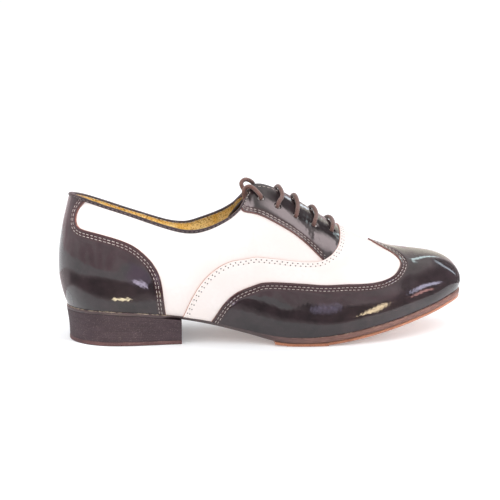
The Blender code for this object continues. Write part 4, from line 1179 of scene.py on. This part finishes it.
def make_tongue():
    """Leather leaf under the facings, bridging the throat, free and cut slantwise at its top.

    Past the facings it runs back evenly and drops by the square of the way.
    """
    first, last = TONGUE_ENDS
    along, up = np.meshgrid(np.linspace(last, first, 60), np.linspace(TONGUE_LOW, 1.0, 16),
                            indexing="ij")
    lateral, medial = [skin(along, up, side, -WALL - TONGUE_GAP) for side in SIDES]
    share = np.linspace(0.0, 1.0, 7)[1:-1, None]
    gap = (1 - share) * lateral[:, -1:] + share * medial[:, -1:]
    sheet = np.concatenate([lateral, gap, medial[:, ::-1]], 1)
    across = np.linspace(0.0, len(TONGUE_TOP) - 1, sheet.shape[1])
    back, down = read(across, np.arange(len(TONGUE_TOP)), TONGUE_TOP).T
    free = np.linspace(0.0, 1.0, 12)[1:, None]
    tip = sheet[-1] - np.stack([free * back, 0 * free * back, free ** 2 * down], -1)
    points = np.concatenate([sheet, tip])
    turn = faces_inward(points, np.array([0.0, 0.0, 1.0]))
    piece = show("tongue_leaf", [grid(points, turn=turn)], TONGUE_KID, "tongue_leather", "tongue")
    thick = piece.modifiers.new("thickness", "SOLIDIFY")
    thick.thickness = TONGUE * MM
    thick.offset = -1.0


# Sole and heel

def outline(along, margin, side):
    """Feather edge moved outward in plan by a margin."""
    return feather(along, side)[..., :2] + margin[..., None] * outward(along, side)[..., :2]


def station_at(x):
    """Distance along the feather edge at which it reaches x."""
    fine = np.linspace(0.0, TOE, 3000)
    return np.interp(x, feather(fine, LATERAL)[:, 0], fine)


def slab(stations, profile, top, bottom, marks=0.0, tuck=0.0):
    """Layer of the sole: at each station a ring across the shoe.

    The ring runs over the top, down the lateral edge's profile, across the bottom and up the medial
    edge. profile gives margins and shares of the thickness from the top; top and bottom are heights
    as functions of x; tuck is how far the lower corner is drawn in at each station.
    """
    inner = 10                           # points across the top, and across the bottom
    margin, share = profile.T
    margin = np.broadcast_to(margin - np.asarray(tuck)[..., None] * share,
                             (len(stations), len(profile)))
    marks = np.broadcast_to(marks, len(profile))
    edges = []
    for side in SIDES:
        plan = outline(np.repeat(stations[:, None], len(profile), 1), margin, side)
        high, low = top(plan[..., 0]), bottom(plan[..., 0])
        edges.append(np.concatenate([plan, (high + share * (low - high))[..., None]], -1))
    lateral, medial = edges
    part = np.linspace(0.0, 1.0, inner + 2)[1:-1, None]
    under = (1 - part) * lateral[:, -1:] + part * medial[:, -1:]
    under[..., 2] = bottom(under[..., 0])
    over = (1 - part) * medial[:, :1] + part * lateral[:, :1]
    over[..., 2] = top(over[..., 0])
    ring = np.concatenate([lateral, under, medial[:, ::-1], over], 1)
    mark = np.concatenate([marks, np.full(inner, UNDER_MARK), marks[::-1],
                           np.full(inner, PLAIN_MARK)])
    caps = [np.repeat(ring[k:k + 1].mean(1, keepdims=True), ring.shape[1], 1) for k in (0, -1)]
    return [grid(np.concatenate([caps[0], ring, caps[1]]), mark, loop=True)]


def spread_stations(first, last, count):
    """Stations between two ends, closer together there: even steps mixed with a half cosine's."""
    t = np.linspace(0.0, 1.0, count)
    return first + (last - first) * (0.45 * t + 0.55 * (1 - np.cos(np.pi * t)) / 2)


def suede_bottom(x):
    """Walking surface: flat on the floor over the ball, then the toe spring."""
    lowest, highest = FLAT_SPOT
    free = sole_bottom(x) - GAP - SUEDE
    return np.where((x >= lowest) & (x <= highest), 0.0, np.maximum(free, 0.0))


def make_soles():
    """Sock lining, outsole with a rounded edge drawn in at the waist, and suede half sole."""
    flat = np.array([[-3.4, 0.0], [-3.3, 0.3], [-3.3, 1.0]])
    sock = slab(spread_stations(0.0, TOE, 120), flat, lambda x: sole_top(x) + GAP + INSOLE,
                lambda x: sole_top(x) + GAP)
    show("sock_lining", sock, GOLD_LINING, "lining_leather", "insole", solid=True)
    edge = np.array([
        # margin, share of the thickness from the top
        [-2.0, 0.0], [0.15, 0.0], [0.5, 0.03], [0.74, 0.10], [0.86, 0.22], [0.92, 0.45],
        [0.88, 0.7], [0.78, 0.86], [0.55, 0.97], [0.2, 1.0],
    ])
    depth = np.append(edge[:-1, 1] * SOLE[-1, 2], UNDER_MARK)
    stations = spread_stations(0.0, TOE, 260)
    waist_start, waist_end = (78.0, 92.0), (138.0, 160.0)
    waist = ease(stations, *waist_start) * (1 - ease(stations, *waist_end))
    outsole = slab(stations, edge, sole_top, sole_bottom, depth, WAIST_TUCK * waist)
    show("outsole_edge", outsole, SOLE_EDGE, "sole_leather", "outsole", solid=True)
    edge = np.array([
        # margin, share of the thickness from the top
        [-1.0, 0.0], [0.25, 0.03], [0.55, 0.2], [0.66, 0.5], [0.6, 0.8], [0.4, 0.97], [0.1, 1.0],
    ])
    half = slab(spread_stations(station_at(SUEDE_BACK), TOE, 200), edge,
                lambda x: suede_bottom(x) + SUEDE, suede_bottom)
    show("suede_half_sole", half, SUEDE_NAP, "suede", "suede_sole", solid=True)


def make_heel():
    """Heel of stacked lifts, tapering to the floor, with a thin top piece below.

    Its side is hollowed by half a sine wave, and each joint between lifts is a small bell groove.
    """
    lifts, slack = 5, 0.05
    hollow, groove, groove_width = 0.5, 0.12, 0.18
    stations = spread_stations(0.0, station_at(HEEL_BREAST), 150)
    share = np.linspace(0.0, 1.0, 10 * lifts + 1)
    joint = np.exp(-(np.abs(np.sin(np.pi * share * lifts)) / groove_width) ** 2)
    margin = SOLE_MARGIN - HEEL_TAPER * share - groove * joint - hollow * np.sin(np.pi * share)
    profile = np.concatenate([[[margin[0] - 2.0, 0.0]], np.stack([margin, share], 1),
                              [[margin[-1] - 2.0, 1.0]]])
    block = slab(stations, profile, lambda x: sole_bottom(x) - slack,
                 lambda x: 0 * x + TOP_PIECE + slack)
    show("heel_stack", block, HEEL_BOARD, "heel_board", "heel_block", solid=True)
    profile = np.array([
        # margin, share of the thickness from the top
        [-2.0, 0.0], [0.0, 0.0], [0.12, 0.08], [0.16, 0.5], [0.1, 0.85], [-0.1, 0.98], [-0.4, 1.0],
    ]) + [SOLE_MARGIN - HEEL_TAPER, 0.0]
    piece = slab(stations, profile, lambda x: 0 * x + TOP_PIECE, lambda x: 0 * x)
    show("heel_top", piece, TOP_RUBBER, "top_piece", "heel_top_piece", solid=True)


# Thread

def sewn_row(line, side, lift, pitch):
    """Middles, directions and normals of stitches at an even pitch along a line on the surface."""
    points = skin(*line.T, side, lift)
    above = skin(*line.T, side, lift + 1.0)
    run = travelled(points)
    at = np.arange(pitch / 2, run[-1] - pitch / 2, pitch)
    travel = unit(read(at, run, np.gradient(points, axis=0)))
    return np.stack([read(at, run, points), travel, unit(read(at, run, above - points))])


def directions(rows):
    """Middles, directions, normals and crosswise directions of the stitches in many rows."""
    middle, travel, normal = np.concatenate(rows, 1)
    return middle, travel, normal, np.cross(normal, travel)


def stitches(rows, length, radius, arch):
    """Thread showing between two holes: a round cord that rises from each end, for every stitch."""
    middle, travel, normal, across = directions(rows)
    sunk = 0.1
    t = np.linspace(-1.0, 1.0, 7)
    turn = np.linspace(0.0, 2 * np.pi, 7, endpoint=False)[:, None]
    size = radius * np.sqrt(np.clip(1 - t ** 4, 0.0, 1.0))
    spine = (middle[:, None] + (t * length / 2)[:, None] * travel[:, None]
             + (arch * (1 - t * t) - sunk)[:, None] * normal[:, None])
    ring = np.cos(turn) * normal[:, None, None] + np.sin(turn) * across[:, None, None]
    return [grid(spine[:, :, None] + size[:, None, None] * ring, loop=True)]


def hole_shade_dots(rows, radius):
    """Painted shade of the needle holes between stitches: dark low domes, two rings and a point
    just above the leather.
    """
    middle, travel, normal, across = directions(rows)
    turn = np.linspace(0.0, 2 * np.pi, 8, endpoint=False)[:, None]
    ring = np.cos(turn) * travel[:, None] + np.sin(turn) * across[:, None]
    size = np.array([1.0, 0.6, 0.0])[:, None, None] * radius
    lift = np.array([0.02, 0.06, 0.07])[:, None, None]
    points = middle[:, None, None] + size * ring[:, None] + lift * normal[:, None, None]
    return [grid(points, loop=True)]


def make_thread():
    """Double rows on dark panels, rows on the vamp with painted shade at the needle holes, and the
    collar's rows on both faces.
    """
    pale, dim, gold, white, pricks = [], [], [], [], []
    count = 400                          # points on a row's line
    pitch, vamp_pitch, facing_pitch = 3.0, 3.5, 3.2
    sunk, vamp_sunk = 0.82, 0.84         # share of a panel's height under its thread
    facing_row, collar_row, lining_row = 2.5, 0.85, 0.8    # below the top edge
    facing_ends, lining_ends = (150.0, 202.0), (1.0, 145.0)
    collar_parts = ((1.0, 132.0, dim), (132.5, 145.0, pale))
    leg, inner_leg = 0.5, 0.3            # binding under its thread, outside and inside
    shift, raised = 5, 0.06              # points along the row, and height, from stitch to the painted shade of its hole
    under = OVERLAY - GAP
    rows = ((COUNTER_SEAM, PANEL_THREADS, OVERLAY * sunk, 1),
            (EYESTAY_SEAM, VAMP_THREADS, OVERLAY * sunk, 1),
            (WING_SEAM, PANEL_THREADS, under + (WING_LIFT - under) * sunk, -1))
    for side in SIDES:
        for table, threads, lift, hand in rows:
            seam = even_line(table, side, count)
            pale += [sewn_row(inset(seam, side, distance, hand), side, lift, pitch)
                     for distance in threads]
        seam = even_line(VAMP_SEAM, side, count)
        lift = throat_lift(seam[:, 0]) * vamp_sunk
        for distance in VAMP_THREADS:
            line = inset(seam, side, distance, -1)
            white.append(sewn_row(line, side, lift, vamp_pitch))
            pricks.append(sewn_row(line[shift:], side, lift[shift:] + raised, vamp_pitch))
        facing = inset(edge_line(*facing_ends, count), side, facing_row, -1)
        pale.append(sewn_row(facing, side, OVERLAY, facing_pitch))
        for first, last, kind in collar_parts:
            collar = edge_line(first, last, count)
            lift = collar_lift(collar[:, 0]) + leg
            kind.append(sewn_row(inset(collar, side, collar_row, -1), side, lift, pitch))
        collar = inset(edge_line(*lining_ends, count), side, lining_row, -1)
        inside = sewn_row(collar, side, -WALL - inner_leg, pitch)
        gold.append(inside * np.array([1.0, 1.0, -1.0])[:, None, None])
    for name, grids, material, slot in (
            # stitches: length, radius, arch
            ("panel_stitches", stitches(pale, 2.3, 0.22, 0.16), PALE_THREAD, "lace_cord"),
            ("binding_stitches", stitches(dim, 2.0, 0.22, 0.14), DIM_THREAD, "binding_leather"),
            ("lining_stitches", stitches(gold, 2.2, 0.24, 0.2), GOLD_THREAD, "lining_leather"),
            ("vamp_stitches", stitches(white, 2.4, 0.26, 0.1), WHITE_THREAD, "white_leather"),
            ("needle_hole_shades", hole_shade_dots(pricks, 0.46), NEEDLE_HOLE_SHADE, "binding_leather")):
        show(name, grids, material, slot)


camera()
make_laces()
make_quarters()
make_panels()
make_eyestays()
make_binding()
make_tongue()
make_soles()
make_heel()
make_thread()
make_sheets()
make_light()
